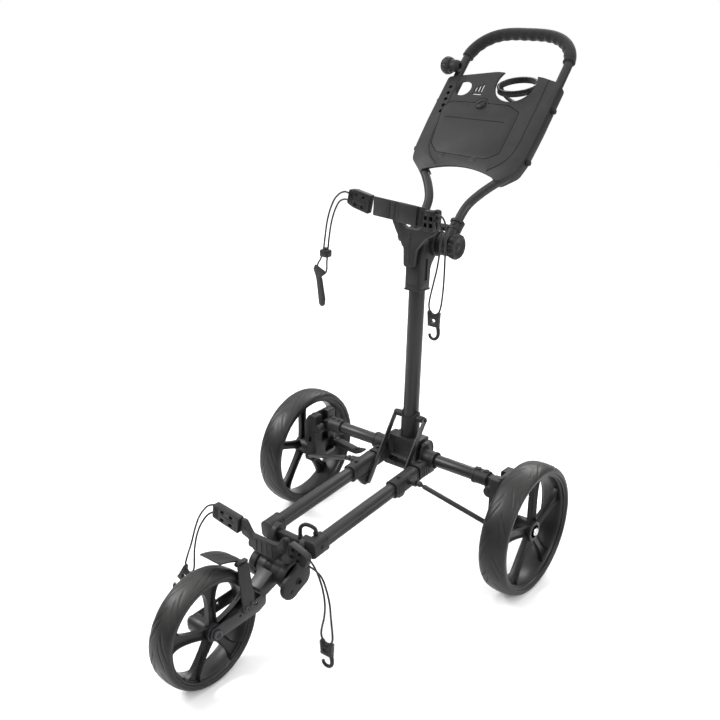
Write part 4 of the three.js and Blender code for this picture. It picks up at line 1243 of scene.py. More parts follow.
    def cover(self) -> Clay:
        """Model the egg-shaped cover over the hinge."""
        low = self.barrel_half + 0.5 + self.ear_width + LAY.gap
        egg = [*arc(-14, 4, 27, 90, 270, 24), *arc(14, -4, 27, -90, 90, 24)]
        tilt = Matrix.Translation((0, LAY.head_y, LAY.head_z - 8)) @ Matrix.Rotation(math.radians(38), 4, "X")
        clay = Clay(tilt).plate(egg, Plane.YZ, low, low + 12, soft=3.6)
        clay.carve(Clay().drum(Axis.X, 5.2, low + 6, low + 30, 3, -3, 32, 0))
        clay.carve(Clay().block(low + 9, low + 30, -26, -17, -2, 1.5, soft=0))
        clay.turned([(5.2, low + 11.5), (7.4, low + 11.5), (7.4, low + 13.6), (6.4, low + 14.6),
                     (5.2, low + 14.0)], 40,
                    middle=(0, 3, -3))
        return clay

    def cable(self) -> Clay:
        """Model the thick release loop between the crosshead and the left rail's sleeve."""
        top = LAY.head_z + 54.3
        front = LAY.rail_front_y
        end = front + 8
        sleeve = LAY.rail_height(end) + 20
        route = smooth_path([
            (24, front - 6, top), (24, front - 6, top + 14), (27, front - 7, top + 28),
            (36, front - 4, top + 36),
            (47, front + 2, top + 33), (53, end, sleeve + 11), (53, end, sleeve),
        ], 8)
        clay = Clay().swept(route, lambda share, angle: 3.9 + (0.25 if int(share * 46) % 2 else 0.0), 24,
                            up=(0, 1, 0))
        clay.drum(Axis.Z, 5.4, top, top + 7, 24, front - 6, 32, 1.2)
        clay.drum(Axis.Z, 5.2, sleeve, sleeve + 6, 53, end, 32, 1.2)
        return clay

    def build(self, shop: Workshop) -> None:
        """Make the front end."""
        shop.finish(self.fork(), "folding_fork", "front_fork")
        shop.finish(self.fender(), "arched_fender", "front_fender")
        bolts = Clay(Matrix.Translation((0, -LAY.ahead, LAY.front_radius)))
        for y, z in ((78, 14), (92, 17)):
            bolts.turned([(0, 35.5), (4.6, 35.5), (4.6, 37.4), (3.6, 38.4), (2.2, 38.4), (2.0, 37.4),
                          (0, 37.4)], 32,
                         closed=False, middle=(0, y, z))
        shop.finish(bolts, "fender_bolts", body=shop.body_of["front_fender"], slot="steel", look="dark_steel")
        shop.finish(self.crosshead(), "rail_crosshead", "crosshead")
        shop.finish(self.cover(), "hinge_cover", "pivot_cover")
        shop.finish(self.cable(), "release_loop", "release_cable")


# ---- Chassis ------------------------------------------------------------------------------------------
@dataclass
class Chassis:
    """The two rails, the hub behind them, and the rear axle's fixed tubes and sockets."""

    rail_width: float = 22
    rail_height: float = 30
    corner: float = 7
    tube: float = 14
    axle_y: float = -9
    axle_z: float = 238.5
    pin_x: float = 243
    pin_z: float = 228

    def rail(self, side: Side) -> Clay:
        """Model one rail with the shallow channel along both its sides."""
        w, h = self.rail_width / 2, self.rail_height / 2
        c = self.corner
        quarter = [*arc(w - c, h - c, c, 0, 90, 8)]
        channel = [(w, 3.2), (w - 1.1, 2.2), (w - 1.1, -2.2), (w, -3.2)]
        right = [*arc(w - c, -h + c, c, -90, 0, 8), *reversed(channel), *quarter]
        outline = right + [(-x, -z) for x, z in right]
        return Clay(LAY.rail(side)).plate(outline, Plane.XZ, LAY.along_rail(LAY.rail_front_y) - 6, 7,
                                          soft=0.4)

    def hub(self) -> Clay:
        """Model the hub that the rails, the axle tubes and the mast meet in."""
        clay = Clay()
        slope = Matrix.Translation((LAY.rail_x, 0,
                                    LAY.rail_z)) @ Matrix.Rotation(math.radians(LAY.rail_slope), 4, "X")
        for side in Side:
            clay.plate(rounded_box(30.6, 38.6, 10.5), Plane.XZ, -55, 15, soft=1.8, move=side.mirror @ slope)
            clay.plate(rounded_box(31.4, 39.2, 11), Plane.XZ, -55, -50.5, soft=0.9, move=side.mirror @ slope)
            for at in (-40, -31, -22):
                clay.block(14.6, 16.2, at, at + 4, -11, 9, soft=0.6, move=side.mirror @ slope)
            clay.drum(Axis.X, self.tube + 4.5, 49, 86, self.axle_y, self.axle_z, 56, 1.8, move=side.mirror)
            clay.drum(Axis.X, self.tube + 5.2, 80, 86, self.axle_y, self.axle_z, 56, 1.2, move=side.mirror)
            cheek = rounded([(-16, 200), (26, 200), (30, 250), (22, 268), (-8, 268), (-18, 250)], 7)
            clay.plate(cheek, Plane.YZ, 43.5, 52, soft=1.6, pocket=(3.2, 1.8), move=side.mirror)
            clay.drum(Axis.X, 10, 48, 52, LAY.mast_y, LAY.mast_z, 40, 0.8, move=side.mirror)
            clay.drum(Axis.X, 8, 51, 56, LAY.mast_y, LAY.mast_z, 6, 1.0, move=side.mirror)
            clay.drum(Axis.Z, 4.5, 237, 241.4, LAY.rail_x, -38, 32, 0.8, move=side.mirror)
        clay.block(-LAY.rail_x, LAY.rail_x, -14, 26, 189, 203, soft=2.4)
        for x in (-24, 0, 24):
            clay.block(x - 1.5, x + 1.5, -15.2, -12, 190.5, 202, soft=0.6)
        return clay

    def socket(self, side: Side) -> Clay:
        """Model the socket on the end of one axle tube."""
        end = self.pin_x - 18
        start = end - 38
        outer = self.tube + 3.2
        clay = Clay(side.mirror)
        clay.turned([
            (0, start), (outer - 1.2, start), (outer, start + 1.2), (outer, end - 1.6), (outer - 1.6, end),
            (0, end),
        ], 64, closed=False, middle=(0, self.axle_y, self.axle_z))
        clay.turned([(outer - 1, start), (outer + 1.2, start + 0.8), (outer + 1.2, start + 5),
                     (outer - 1, start + 6)],
                    64, middle=(0, self.axle_y, self.axle_z))
        tongue = rounded([(end - 6, self.pin_z - 9), (end - 6, self.pin_z + 22),
                          (self.pin_x + 4, self.pin_z + 16),
                          (self.pin_x + 11, self.pin_z), (self.pin_x + 6, self.pin_z - 9)], 5)
        clay.plate(tongue, Plane.XZ, -20, 2, soft=1.4)
        for share in (0.28, 0.78):
            at = start + share * 38
            clay.drum(Axis.Z, 6, self.axle_z + outer - 3, self.axle_z + outer + 2, at, self.axle_y, 32, 1.0)
            clay.drum(Axis.Z, 2.6, self.axle_z + outer, self.axle_z + outer + 2.6, at, self.axle_y, 24, 0.5)
        clay.block(start + 6, end - 4, self.axle_y - outer - 0.8, self.axle_y - outer + 3, self.axle_z - 5,
                   self.axle_z - 1, soft=0.6)
        return clay

    def build(self, shop: Workshop) -> None:
        """Make the chassis."""
        for side in Side:
            shop.finish(self.rail(side), f"channel_rail_{side.word}", f"rail_{side.word}")
            tube = Clay(side.mirror).drum(Axis.X, self.tube, 72.3, 217, self.axle_y, self.axle_z, 64, 0.6)
            shop.finish(tube, f"axle_bar_{side.word}", f"axle_tube_{side.word}")
            shop.finish(self.socket(side), f"axle_end_socket_{side.word}", f"axle_socket_{side.word}")
        shop.finish(self.hub(), "rail_hub", "central_hub")
        pin = Clay().drum(Axis.X, 5, -49.5, 49.5, LAY.mast_y, LAY.mast_z, 32, 0.6)
        shop.finish(pin, "mast_hinge_pin", "mast_pivot_pin", look="dark_steel")


@dataclass
class Linkage:
    """The collars, links, struts, knuckles and brake that fold the rear wheels."""

    strut: float = 5.5
    joint: float = 7
    inner: Point = (99, -93, 219)
    outer: Point = (262, -55, 158)
    link_in: float = 38.5
    link_thick: float = 4
    knuckle_in: float = 245
    knuckle_width: float = 36

    def collar(self, side: Side) -> Clay:
        """Model one sliding collar."""
        slope = Matrix.Translation((LAY.rail_x, 0,
                                    LAY.rail_z)) @ Matrix.Rotation(math.radians(LAY.rail_slope), 4, "X")
        clay = Clay(side.mirror)
        clay.plate(rounded_box(30.6, 38.6, 10.5), Plane.XZ, -142, -62, soft=1.8, move=slope)
        for at in (-142, -66):
            clay.plate(rounded_box(31.4, 39.4, 11), Plane.XZ, at, at + 4, soft=0.9, move=slope)
        for at in (-134, -126, -118):
            clay.block(14.4, 16.0, at, at + 3.4, -12, 11, soft=0.6, move=slope)
        top = LAY.rail_height(-94) - 16.5
        lug = rounded([(-128, top), (-106, 172), (-86, 172), (-68, top)], 6)
        low = self.link_in + self.link_thick + 1.2
        clay.plate(lug, Plane.YZ, low, low + 9, soft=1.2)
        x, y, z = self.inner
        clay.drum(Axis.X, 9, 71.5, x - self.joint - LAY.gap, y, z, 40, 1.4)
        clay.drum(Axis.X, 11, 71.5, 77, y, z, 40, 1.2)
        clay.drum(Axis.Z, 4.2, 233, 236, LAY.rail_x, -118, 32, 0.8)
        return clay

    def link(self, side: Side) -> Clay:
        """Model one flat fold link."""
        lean = math.radians(LAY.mast_lean)
        top_y = LAY.mast_y - 2 * math.cos(lean) + 69 * math.sin(lean)
        top_z = LAY.mast_z + 2 * math.sin(lean) + 69 * math.cos(lean)
        reach = math.hypot(top_y + 94, top_z - 181)
        turn = Matrix.Translation((0, top_y, top_z)) @ Matrix.Rotation(math.atan2(181 - top_z, -94 - top_y),
                                                                       4, "X")
        outline = [*arc(reach, 0, 7, -90, 90, 16), *arc(0, 0, 7, 90, 270, 16)]
        clay = Clay(side.mirror)
        waist = [(a, b * (0.82 if 12 < a < reach - 12 else 1.0)) for a, b in outline]
        clay.plate(waist, Plane.YZ, self.link_in, self.link_in + self.link_thick, soft=0.9, pocket=(2.2, 0.8),
                   move=turn)
        return clay.carve(Clay().drum(Axis.X, 4.4, 30, 50, 0, 0, 32, 0, move=turn))

    def brace(self, side: Side) -> Clay:
        """Model one strut with a ball joint at each end."""
        start, end = Vector(self.inner), Vector(self.outer)
        along = (end - start).normalized()
        clay = Clay(side.mirror)
        clay.bar(tuple(start + along * 10), tuple(end - along * 10), self.strut, 40, 0.8)
        clay.bar(self.inner, tuple(start + along * 14), 3.6, 24)
        clay.bar(self.outer, tuple(end - along * 14), 3.6, 24)
        clay.bar(tuple(start + along * 11), tuple(start + along * 19), 5.5, 6, 0.6)
        clay.bar(tuple(end - along * 11), tuple(end - along * 19), 5.5, 6, 0.6)
        clay.ball(self.joint, *self.inner)
        return clay.ball(self.joint, *self.outer)

    def knuckle(self, side: Side) -> Clay:
        """Model the hinged block that carries one rear wheel."""
        low = self.knuckle_in
        high = low + self.knuckle_width
        body = rounded([(low, 148), (low + 8, 138), (high, 138), (high, 240), (high - 14, 262), (low, 262)],
                       5)
        clay = Clay(side.mirror).plate(body, Plane.XZ, -45, 30, soft=2.4)
        for y0, y1 in ((-45, -20.6), (2.6, 24)):
            clay.drum(Axis.Y, 12, y0, y1, 243, 228, 48, 1.4)
        tool = Clay().block(low - 20, low + 14, -20.6, 2.6, 188, 263, soft=0)
        tool.block(low - 1, low + 12, -8, 22, 154, 184, soft=0)
        tool.block(low + 14, low + 22, -46, -31, 190, 204, soft=0)
        tool.block(251, high + 1, -46, -36, 146, 184, soft=0)
        tool.block(high - 1.4, high + 2, -34, 20, 196, 230, soft=0)
        tool.block(low + 10, high - 8, 26, 31, 160, 232, soft=0)
        clay.carve(tool)
        clay.drum(Axis.Y, 4, -24, 6, 243, 228, 24, 0.4)
        clay.drum(Axis.X, 13, high - 2, high + 6, 0, LAY.rear_radius, 48, 1.2)
        clay.drum(Axis.Y, 5, -46.4, -44, 243, 228, 6, 0.6)
        clay.drum(Axis.Z, 5, 260, 263, 262, -30, 32, 0.8)
        for x in (low + 15, low + 24):
            clay.block(x, x + 2, 26, 30, 162, 230, soft=0.5)
        return clay

    def brake(self) -> Clay:
        """Model the brake pedal with its ribbed tread."""
        root = 237
        outline = rounded([(root, 168), (root - 8, 184), (root - 30, 182), (root - 70, 176), (root - 90, 181),
                           (root - 92, 176), (root - 74, 167), (root - 30, 168)], 5)
        clay = Clay(Side.RIGHT.mirror).plate(outline, Plane.XZ, 9, 29, soft=1.6)
        clay.drum(Axis.Y, 9, 9, 29, root - 2, 176, 40, 1.2)
        for i in range(5):
            x = root - 88 + 7 * i
            clay.block(x, x + 2.4, 11, 27, 174, 181.6 - 0.9 * i, soft=0.6)
        return clay

    def build(self, shop: Workshop) -> None:
        """Make the linkage."""
        for side in Side:
            word = side.word
            shop.finish(self.collar(side), f"rail_collar_{word}", f"slide_collar_{word}")
            shop.finish(self.link(side), f"flat_link_{word}", f"fold_link_{word}")
            shop.finish(self.brace(side), f"ball_strut_{word}", f"strut_{word}")
            shop.finish(self.knuckle(side), f"wheel_knuckle_{word}", f"knuckle_{word}")
        shop.finish(self.brake(), "parking_brake_pedal", "brake_pedal")


# ---- Mast ---------------------------------------------------------------------------------------------
@dataclass
class Mast:
    """The folding mast: its base, tube, elbow, hinge bolt and upper bag cradle."""

    tube: float = 18
    bottom: float = 30
    top: float = 446
    column: float = 20.6

    def base(self) -> Clay:
        """Model the moulding at the foot of the mast."""
        clay = Clay(LAY.mast)
        block = rounded([(-21, -34), (14, -34), (24, -20), (24, 22), (-27, 22), (-27, -26)], 6)
        clay.plate(block, Plane.YZ, -37.5, 37.5, soft=2.2)

        def scoop(point: Vector) -> Vector:
            """Lower the sleeve's rim at its front and back."""
            if point.z < 50:
                return point
            reach = math.hypot(point.x, point.y)
            dip = 15 * (abs(point.y) / reach) ** 1.6 * min(1.0, (point.z - 50) / 20)
            return Vector((point.x, point.y, point.z - dip))

        outer = 21.5
        wall = [(18.2, 0), (outer, 0), (outer, 20), (outer, 40), (outer, 50), (outer, 60), (outer, 72),
                (outer, 82),
                (outer - 1, 84), (18.6, 84), (18.2, 83), (18.2, 60)]
        clay.turned(wall, 72, Axis.Z, shape=scoop)
        for side in Side:
            clay.drum(Axis.X, 8, 10, 38.2, -2, 69, 40, 1.2, move=side.mirror)
            clay.drum(Axis.X, 4, 20, 45, -2, 69, 6, 0.5, move=side.mirror)
            clay.block(26, 37.9, -25.5, -28, -20, 16, soft=0.8, move=side.mirror)
            for z in (-22, -10, 2):
                clay.block(10, 24, -28, -24, z, z + 4, soft=0.8, move=side.mirror)
        clay.block(-37.2, 37.2, -28, -20, 18, 22, soft=1.4)
        return clay

    def elbow(self) -> Clay:
        """Model the elbow that carries the handle's hinge."""
        w = self.column
        y, z = LAY.hinge_y, LAY.hinge_z
        profile = rounded([
            (-w - 1, 368), (w, 368), (w + 2, z - 50), (y + 4, z - 28), (y + 25, z - 8), (y + 24, z + 10),
            (y, z + 26), (y - 22, z + 14), (-8, z + 2), (-w - 1, z - 26),
        ], 9)
        clay = Clay(LAY.mast).plate(profile, Plane.YZ, -w, w, soft=7.5)
        tool = Clay().block(w - 2.2, w + 4, -7, 5, 392, 440, soft=0)
        tool.block(-w - 4, -w + 2.2, -7, 5, 392, 440, soft=0)
        clay.carve(tool)
        clay.block(-w - 0.2, w + 0.2, -w - 1.2, w + 0.2, 368, 373, soft=1.8)
        clay.block(-w + 5, w - 5, -w - 1.8, -w + 2, 384, 430, soft=1.2)
        clay.drum(Axis.X, 28, -30, 30, y, z, 72, 2.4)
        clay.drum(Axis.X, 23, -30.2, 30.2, y, z, 64, 0.4)
        windows = Clay()
        for x in (-14, 6):
            windows.block(x, x + 8, y - 31, y - 20, z - 4, z + 2, soft=0)
        clay.carve(windows)
        return clay

    def bolt(self) -> Clay:
        """Model the hinge bolt and its moulded head."""
        clay = Clay(LAY.mast).drum(Axis.X, 5, -76, 62, LAY.hinge_y, LAY.hinge_z, 32, 0.6)
        clay.drum(Axis.X, 12, -76, -66, LAY.hinge_y, LAY.hinge_z, 48, 1.6)
        clay.drum(Axis.X, 8, -80, -74, LAY.hinge_y, LAY.hinge_z, 6, 1.0)
        return clay

    def cradle(self) -> Clay:
        """Model the forked upper rest for the bag."""
        outline = rounded([
            (-13, 424), (13, 424), (15, 462), (36, 488), (64, 506), (70, 520), (70, 556), (54, 556),
            (46, 526),
            (22, 508), (-12, 508), (-28, 520), (-34, 556), (-46, 556), (-48, 520), (-34, 494), (-15, 466),
        ], 7)
        clay = Clay(LAY.mast).plate(outline, Plane.XZ, -38.3, -24.3, soft=1.8)
        clay.block(-3, 3, -39.0, -36, 432, 500, soft=1.0)
        for x, z in ((0, 440), (0, 486)):
            clay.drum(Axis.Y, 4.6, -39.4, -37, x, z, 32, 0.8)
        return clay

    def build(self, shop: Workshop) -> None:
        """Make the mast."""
        tube = Clay(LAY.mast).drum(Axis.Z, self.tube, self.bottom, self.top, 0, 0, 80, 0.6)
        shop.finish(tube, "mast_post", "mast_tube")
        shop.finish(self.base(), "mast_foot", "mast_base")
        shop.finish(self.elbow(), "hinge_elbow", "mast_elbow")
        shop.finish(self.bolt(), "handle_hinge_bolt", "hinge_bolt", look="dark_steel")
        shop.finish(self.cradle(), "upper_bag_rest", "upper_cradle")


# ---- Handle -------------------------------------------------------------------------------------------
@dataclass
class Handle:
    """The handle loop, its yoke, knob, grip and console."""

    radius: float = 10
    half_width: float = 133
    leg_half: float = 47
    top: float = 562
    grip: float = 14.4
    grip_start: float = 484
    cup_tilt: float = 15.5
    face: float = 14
    back: float = -12.5

    def path(self) -> list[Vector]:
        """Trace the middle of the handle's tube."""
        w, leg = self.half_width, self.leg_half
        side = [(leg, 34), (leg, 78), (leg + 5, 104), (leg + 21, 133), (leg + 42, 160), (w - 10, 197),
                (w - 2, 235),
                (w, 300), (w, 380), (w, 450), (w - 1, 488), (w - 8, 512), (w - 22, 532), (w - 41, 547),
                (w - 62, 556),
                (w - 90, 561)]
        right = [(x, s, 0.0) for x, s in side]
        left = [(-x, s, 0.0) for x, s in reversed(side)]
        return smooth_path([*right, (0.0, self.top, 0.0), *left], 8)

    def foam(self) -> Clay:
        """Model the foam grip with finger waves on its inner side."""
        run = [p for p in self.path() if p.y > self.grip_start]
        fine: list[Vector] = []
        for a, b in zip(run, run[1:]):
            steps = max(1, round((b - a).length / 2.2))
            fine += [a.lerp(b, i / steps) for i in range(steps)]
        fine.append(run[-1])
        total = length_of(fine)

        def section(share: float, angle: float) -> float:
            """Give the grip's radius, waved towards the hand."""
            inward = max(0.0, -math.cos(angle)) ** 1.5
            waves = 2.1 * inward * (0.5 - 0.5 * math.cos(FULL_TURN * share * 15))
            end = min(share, 1 - share) * total
            taper = 1.6 * max(0.0, 1 - end / 2.4) ** 2
            ring = 0.7 * math.exp(-(((end - 7) / 1.1) ** 2))
            return self.grip - waves - taper - ring

        return Clay(LAY.handle).swept(fine, section, 40, up=(0, 0, 1))

    def yoke(self) -> Clay:
        """Model the yoke that the handle's two legs stand in."""
        clay = Clay(LAY.handle)
        outer = self.radius + 3.6
        for side in Side:
            clay.drum(Axis.X, 24, 30.5, 60, 0, 0, 72, 2.0, move=side.mirror)
            clay.drum(Axis.X, 19, 59, 60.8, 0, 0, 64, 0.5, move=side.mirror)
            clay.drum(Axis.Y, outer, 8, 60, self.leg_half, 0, 56, 1.4, move=side.mirror)
            clay.drum(Axis.Y, outer + 3, 53, 60, self.leg_half, 0, 56, 1.4, move=side.mirror)
            clay.drum(Axis.Y, outer + 1.6, 36, 41, self.leg_half, 0, 56, 1.0, move=side.mirror)
            clay.block(self.leg_half + 10, self.leg_half + 16.4, 34, 58, -5, 5, soft=1.4, move=side.mirror)
            clay.drum(Axis.Z, 4.4, 8, 15.6, self.leg_half, 47, 6, 0.7, move=side.mirror)
        return clay.drum(Axis.X, 8, -self.leg_half, self.leg_half, 40, 0, 48, 0.4)

    def knob(self) -> Clay:
        """Model the clamping knob with its gripping teeth."""

        def teeth(point: Vector) -> Vector:
            """Push the rim in between the teeth."""
            reach = math.hypot(point.x, point.y)
            if reach < 23 or not 63.5 < point.z < 78:
                return point
            wave = 0.5 - 0.5 * math.cos(12 * math.atan2(point.y, point.x))
            scale = 1 - 2.6 * wave**2 / reach
            return Vector((point.x * scale, point.y * scale, point.z))

        profile = [(0, 62.5), (22, 62.5), (24.6, 63.1), (27, 64.8), (28, 67), (28, 70), (28, 73), (27.4, 76),
                   (25, 78.4), (21, 79), (19.4, 78.4), (18, 76.6), (8, 76.2), (6.8, 77.8), (0, 78.2)]
        clay = Clay(LAY.handle).turned(profile, 144, closed=False, shape=teeth)
        return clay.carve(Clay().drum(Axis.X, 5.4, 60, 66, 0, 0, 32, 0))

    def lid_outline(self, grow: float) -> list[Flat]:
        """Give the scorecard lid's outline, grown by a distance."""
        corners = [(-106, 238), (-81, 216), (49, 213), (77, 230), (78, 339), (43, 356), (-106, 354),
                   (-122, 336)]
        middle = Vector((-22, 285))
        grown = []
        for x, s in corners:
            away = Vector((x, s)) - middle
            grown.append((x + grow * math.copysign(1, away.x), s + grow * math.copysign(1, away.y)))
        return rounded(grown, 6, 4)

    def console(self) -> Clay:
        """Model the console: rounded rails, flat panel, tray, holes and side bolts."""
        outside, inside = self.half_width + 13, self.half_width - 13
        arch = [(-103 + 206 * i / 28, 163 + 96 * (i / 28) * (1 - i / 28)) for i in range(29)]
        shoulder = rounded([(103, 163), (135, 190), (outside - 3, 225), (outside, 300), (outside, 424),
                            (125, 429),
                            (94, 437), (-22, 444), (-outside, 421), (-outside, 300), (-outside + 3, 225),
                            (-135, 190), (-103, 163)], 9, 6)
        clay = Clay(LAY.handle).plate([*arch[1:-1], *shoulder], Plane.XY, self.back, self.face, soft=5.0)
        hollow = [(-72, 140), (72, 140), (77, 165), (109, 197), (inside - 4, 228), (inside, 325),
                  (inside, 470),
                  (-inside, 470), (-inside, 325), (-inside + 4, 228), (-109, 197), (-77, 165)]
        under = Clay().plate(rounded(hollow, 8), Plane.XY, self.back - 1, self.face - 5, soft=0)
        clay.carve(under)
        tray = Clay().plate(self.lid_outline(-6), Plane.XY, -10, self.face - 4, soft=0.8)
        clay.bm.from_mesh(self._shell_mesh(tray))
        tool = Clay().plate(self.lid_outline(-9), Plane.XY, -7.5, self.face + 1, soft=0)
        clay.carve(tool)
        tool = Clay().plate(self.lid_outline(0.7), Plane.XY, self.face - 3, self.face + 1, soft=0)
        tool.drum(Axis.Z, 17.7, self.face - 3, self.face + 1, -26, 352, 48, 0)
        clay.carve(tool)
        tool = Clay().drum(Axis.Z, 20.5, self.back - 1, self.face + 1, -92, 392, 64, 0)
        tool.drum(Axis.Z, 50, self.back - 1, self.face + 1, 37, 415, 96, 0)
        for i, x in enumerate((-58, -50, -42)):
            slot = rounded_box(5.2, 16 + 4 * i, 2.2, 4)
            tool.plate([(a + x, b + 392 + 2 * i) for a, b in slot], Plane.XY, self.back - 1, self.face + 1,
                       soft=0)
        tool.plate([(a - 50, b + 379) for a, b in rounded_box(25, 5, 2.2, 4)], Plane.XY, self.back - 1,
                   self.face + 1, soft=0)
        for i in range(5):
            tool.drum(Axis.Z, 4.6, self.face - 5, self.face + 1, -127 + 1.2 * i, 392 - 17 * i, 32, 0)
        clay.carve(tool)
        groove = Clay()
        for end in (1, -1):
            line = [(end * 113.5, 432), (end * 113.5, 325), (end * 109, 236), (end * 92, 206),
                    (end * 66, 184)]
            path = smooth_path([(x, s, self.face + 0.4) for x, s in line], 6)
            groove.swept(path, lambda share, angle: 1.7, 10)
        clay.carve(groove)
        for x in (-63, 20):
            clay.block(x - 7, x + 7, 203, 214, self.face - 1, self.face + 0.35, soft=0.3)
        for s, x in ((360, outside), (225, outside - 3)):
            for side in Side:
                clay.drum(Axis.X, 6, x - 2, x + 8, s, 0, 40, 1.2, move=side.mirror)
                clay.drum(Axis.X, 7.2, x - 1, x + 3, s, 0, 40, 1.0, move=side.mirror)
        return clay

    @staticmethod
    def _shell_mesh(clay: Clay) -> bpy.types.Mesh:
        """Give a clay's shells as a mesh and free it."""
        mesh = bpy.data.meshes.new("tray")
        clay.bm.to_mesh(mesh)
        clay.bm.free()
        return mesh

    def lid(self) -> Clay:
        """Model the scorecard lid with its tab and pressed line."""
        face = self.face
        clay = Clay(LAY.handle).plate(self.lid_outline(-0.3), Plane.XY, face - 2.7, face + 0.2, soft=0.8)
        clay.drum(Axis.Z, 17, face - 2.7, face + 0.2, -26, 352, 56, 0.7)
        line = Clay().block(-104, 52, 309.0, 311.2, face - 1.0, face + 2, soft=0,
                            move=Matrix.Rotation(math.radians(-0.2), 4, "Z"))
        clay.carve(line)
        return clay

    def latch(self) -> Clay:
        """Model the quarter-turn latch with its crossed slots."""
        face = self.face
        dome = [(0, face + 0.5), (12.4, face + 0.5), (13, face + 1.2), (12.6, face + 3.2), (11, face + 4.8),
                (8, face + 5.8), (0, face + 6.4)]
        clay = Clay(LAY.handle).turned(dome, 72, Axis.Z, closed=False, middle=(-26, 352, 0))
        for turn in (45, 135):
            slot = Matrix.Translation((-26, 352, 0)) @ Matrix.Rotation(math.radians(turn), 4, "Z")
            clay.carve(Clay().block(-8.5, 8.5, -1.3, 1.3, face + 3.6, face + 9, soft=0, move=slot))
        return clay

    def umbrella(self) -> Clay:
        """Model the tilting umbrella socket with its ribbed waist."""

        def ribs(point: Vector) -> Vector:
            """Press shallow flutes into the widest part."""
            reach = math.hypot(point.x, point.y)
            if reach < 15 or abs(point.z + 11) > 9:
                return point
            scale = 1 - 0.9 * (0.5 - 0.5 * math.cos(18 * math.atan2(point.y, point.x))) / reach
            return Vector((point.x * scale, point.y * scale, point.z))

        profile = [(0, -24), (12, -23.6), (15, -22), (18.5, -18), (20.6, -13), (20.8, -9), (19.6, -4),
                   (18, -1),
                   (14.6, 0.2), (14, 2), (14.4, 10), (14, 17), (12, 20.8), (9, 23), (7.4, 23.6), (6.6, 22.4),
                   (6, 12),
                   (0, 12)]
        clay = Clay(LAY.handle).turned(profile, 144, closed=False, middle=(-143.5, 443, 25), shape=ribs)
        return clay.drum(Axis.Y, 6, 425, 437, -143.5, 26, 40, 1.0)

    def cup(self) -> Clay:
        """Model the tipping cup ring, its bail and its pivots."""
        lean = Matrix.Rotation(math.radians(self.cup_tilt - LAY.handle_angle), 4, "X")
        place = LAY.handle @ Matrix.Translation((37, 415, 2)) @ lean
        clay = Clay(place)
        band = [(42, -6.4), (42.6, -7), (46, -7), (46.8, -6.2), (47, -5), (46.4, -3.8), (46.2, 2.6),
                (46.8, 4),
                (47, 6), (46.4, 7), (42.8, 7), (42, 6.2), (42.3, 0)]
        clay.turned(band, 112, Axis.Z)
        outer = [(46 * math.cos(t), 40 * math.sin(t)) for t in (-math.pi * i / 40 for i in range(41))]
        inner = [(42 * math.cos(t), 36 * math.sin(t)) for t in (-math.pi * i / 40 for i in range(40, -1, -1))]
        clay.plate([*outer, *inner], Plane.XZ, -6, 6, soft=1.2)
        clay.drum(Axis.Z, 11, -40, -35.4, 0, 0, 48, 1.2)
        for side in Side:
            clay.drum(Axis.X, 4, 45, 49.7, 0, 0, 32, 0.5, move=side.mirror)
        return clay

    def build(self, shop: Workshop) -> None:
        """Make the handle."""
        tube = Clay(LAY.handle).swept(self.path(), lambda share, angle: self.radius, 40, up=(0, 0, 1))
        shop.finish(tube, "handle_loop", "handle_tube", smooth=60)
        shop.finish(self.foam(), "hand_grip_foam", "foam_grip", smooth=60)
        shop.finish(self.yoke(), "leg_yoke", "handle_yoke")
        shop.finish(self.knob(), "clamp_knob", "handle_knob", smooth=50)
        shop.finish(self.console(), "console_shell", "console")
        shop.finish(self.lid(), "tray_lid", "scorecard_lid")
        shop.finish(self.latch(), "quarter_turn_latch", "lid_latch")
        shop.finish(self.umbrella(), "umbrella_socket", "umbrella_joint", smooth=50)
        shop.finish(self.cup(), "cup_holder_ring", "cup_ring")


# ---- Bag straps, buckles and cords --------------------------------------------------------------------
@dataclass
class Buckle:
    """A side-release buckle with a wide slotted end."""

    name: str
    node: str
    place: Matrix
    length: float
    wide: float
    narrow: float
    thick: float

    def build(self, shop: Workshop) -> None:
        """Make the buckle."""
        half, neck, reach = self.wide / 2, self.narrow / 2, self.length
        outline = rounded([(0, -half), (0, half), (-reach * 0.72, half - 1), (-reach, neck), (-reach, -neck),
                           (-reach * 0.72, -half + 1)], 4)
        deep = self.thick / 2
        clay = Clay(self.place).plate(outline, Plane.XZ, -deep, deep, soft=1.6)
        tool = Clay()
        for share in (0.3, 0.62):
            for end in (-1, 1):
                middle = end * self.wide * 0.26
                slot = [(a - reach * share, b + middle) for a, b in rounded_box(9.4, 7.6, 1.6, 4)]
                tool.plate(slot, Plane.XZ, -self.thick, self.thick, soft=0)
        clay.carve(tool)
        panel = [(a - reach * 0.46, b) for a, b in rounded_box(reach * 0.55, self.wide * 0.16, 1.5, 4)]
        clay.plate(panel, Plane.XZ, -deep - 0.7, 0, soft=0.5)
        for i in range(4):
            x = -reach * 0.8 - 3.1 * i
            if -x < reach - 2.5:
                clay.block(x - 0.8, x + 0.8, -deep - 0.8, 0, -neck * 0.78, neck * 0.78, soft=0.35)
        clay.block(-3.6, -1.4, -deep - 0.7, 0, -half * 0.8, half * 0.8, soft=0.5)
        shop.finish(clay, self.name, self.node)


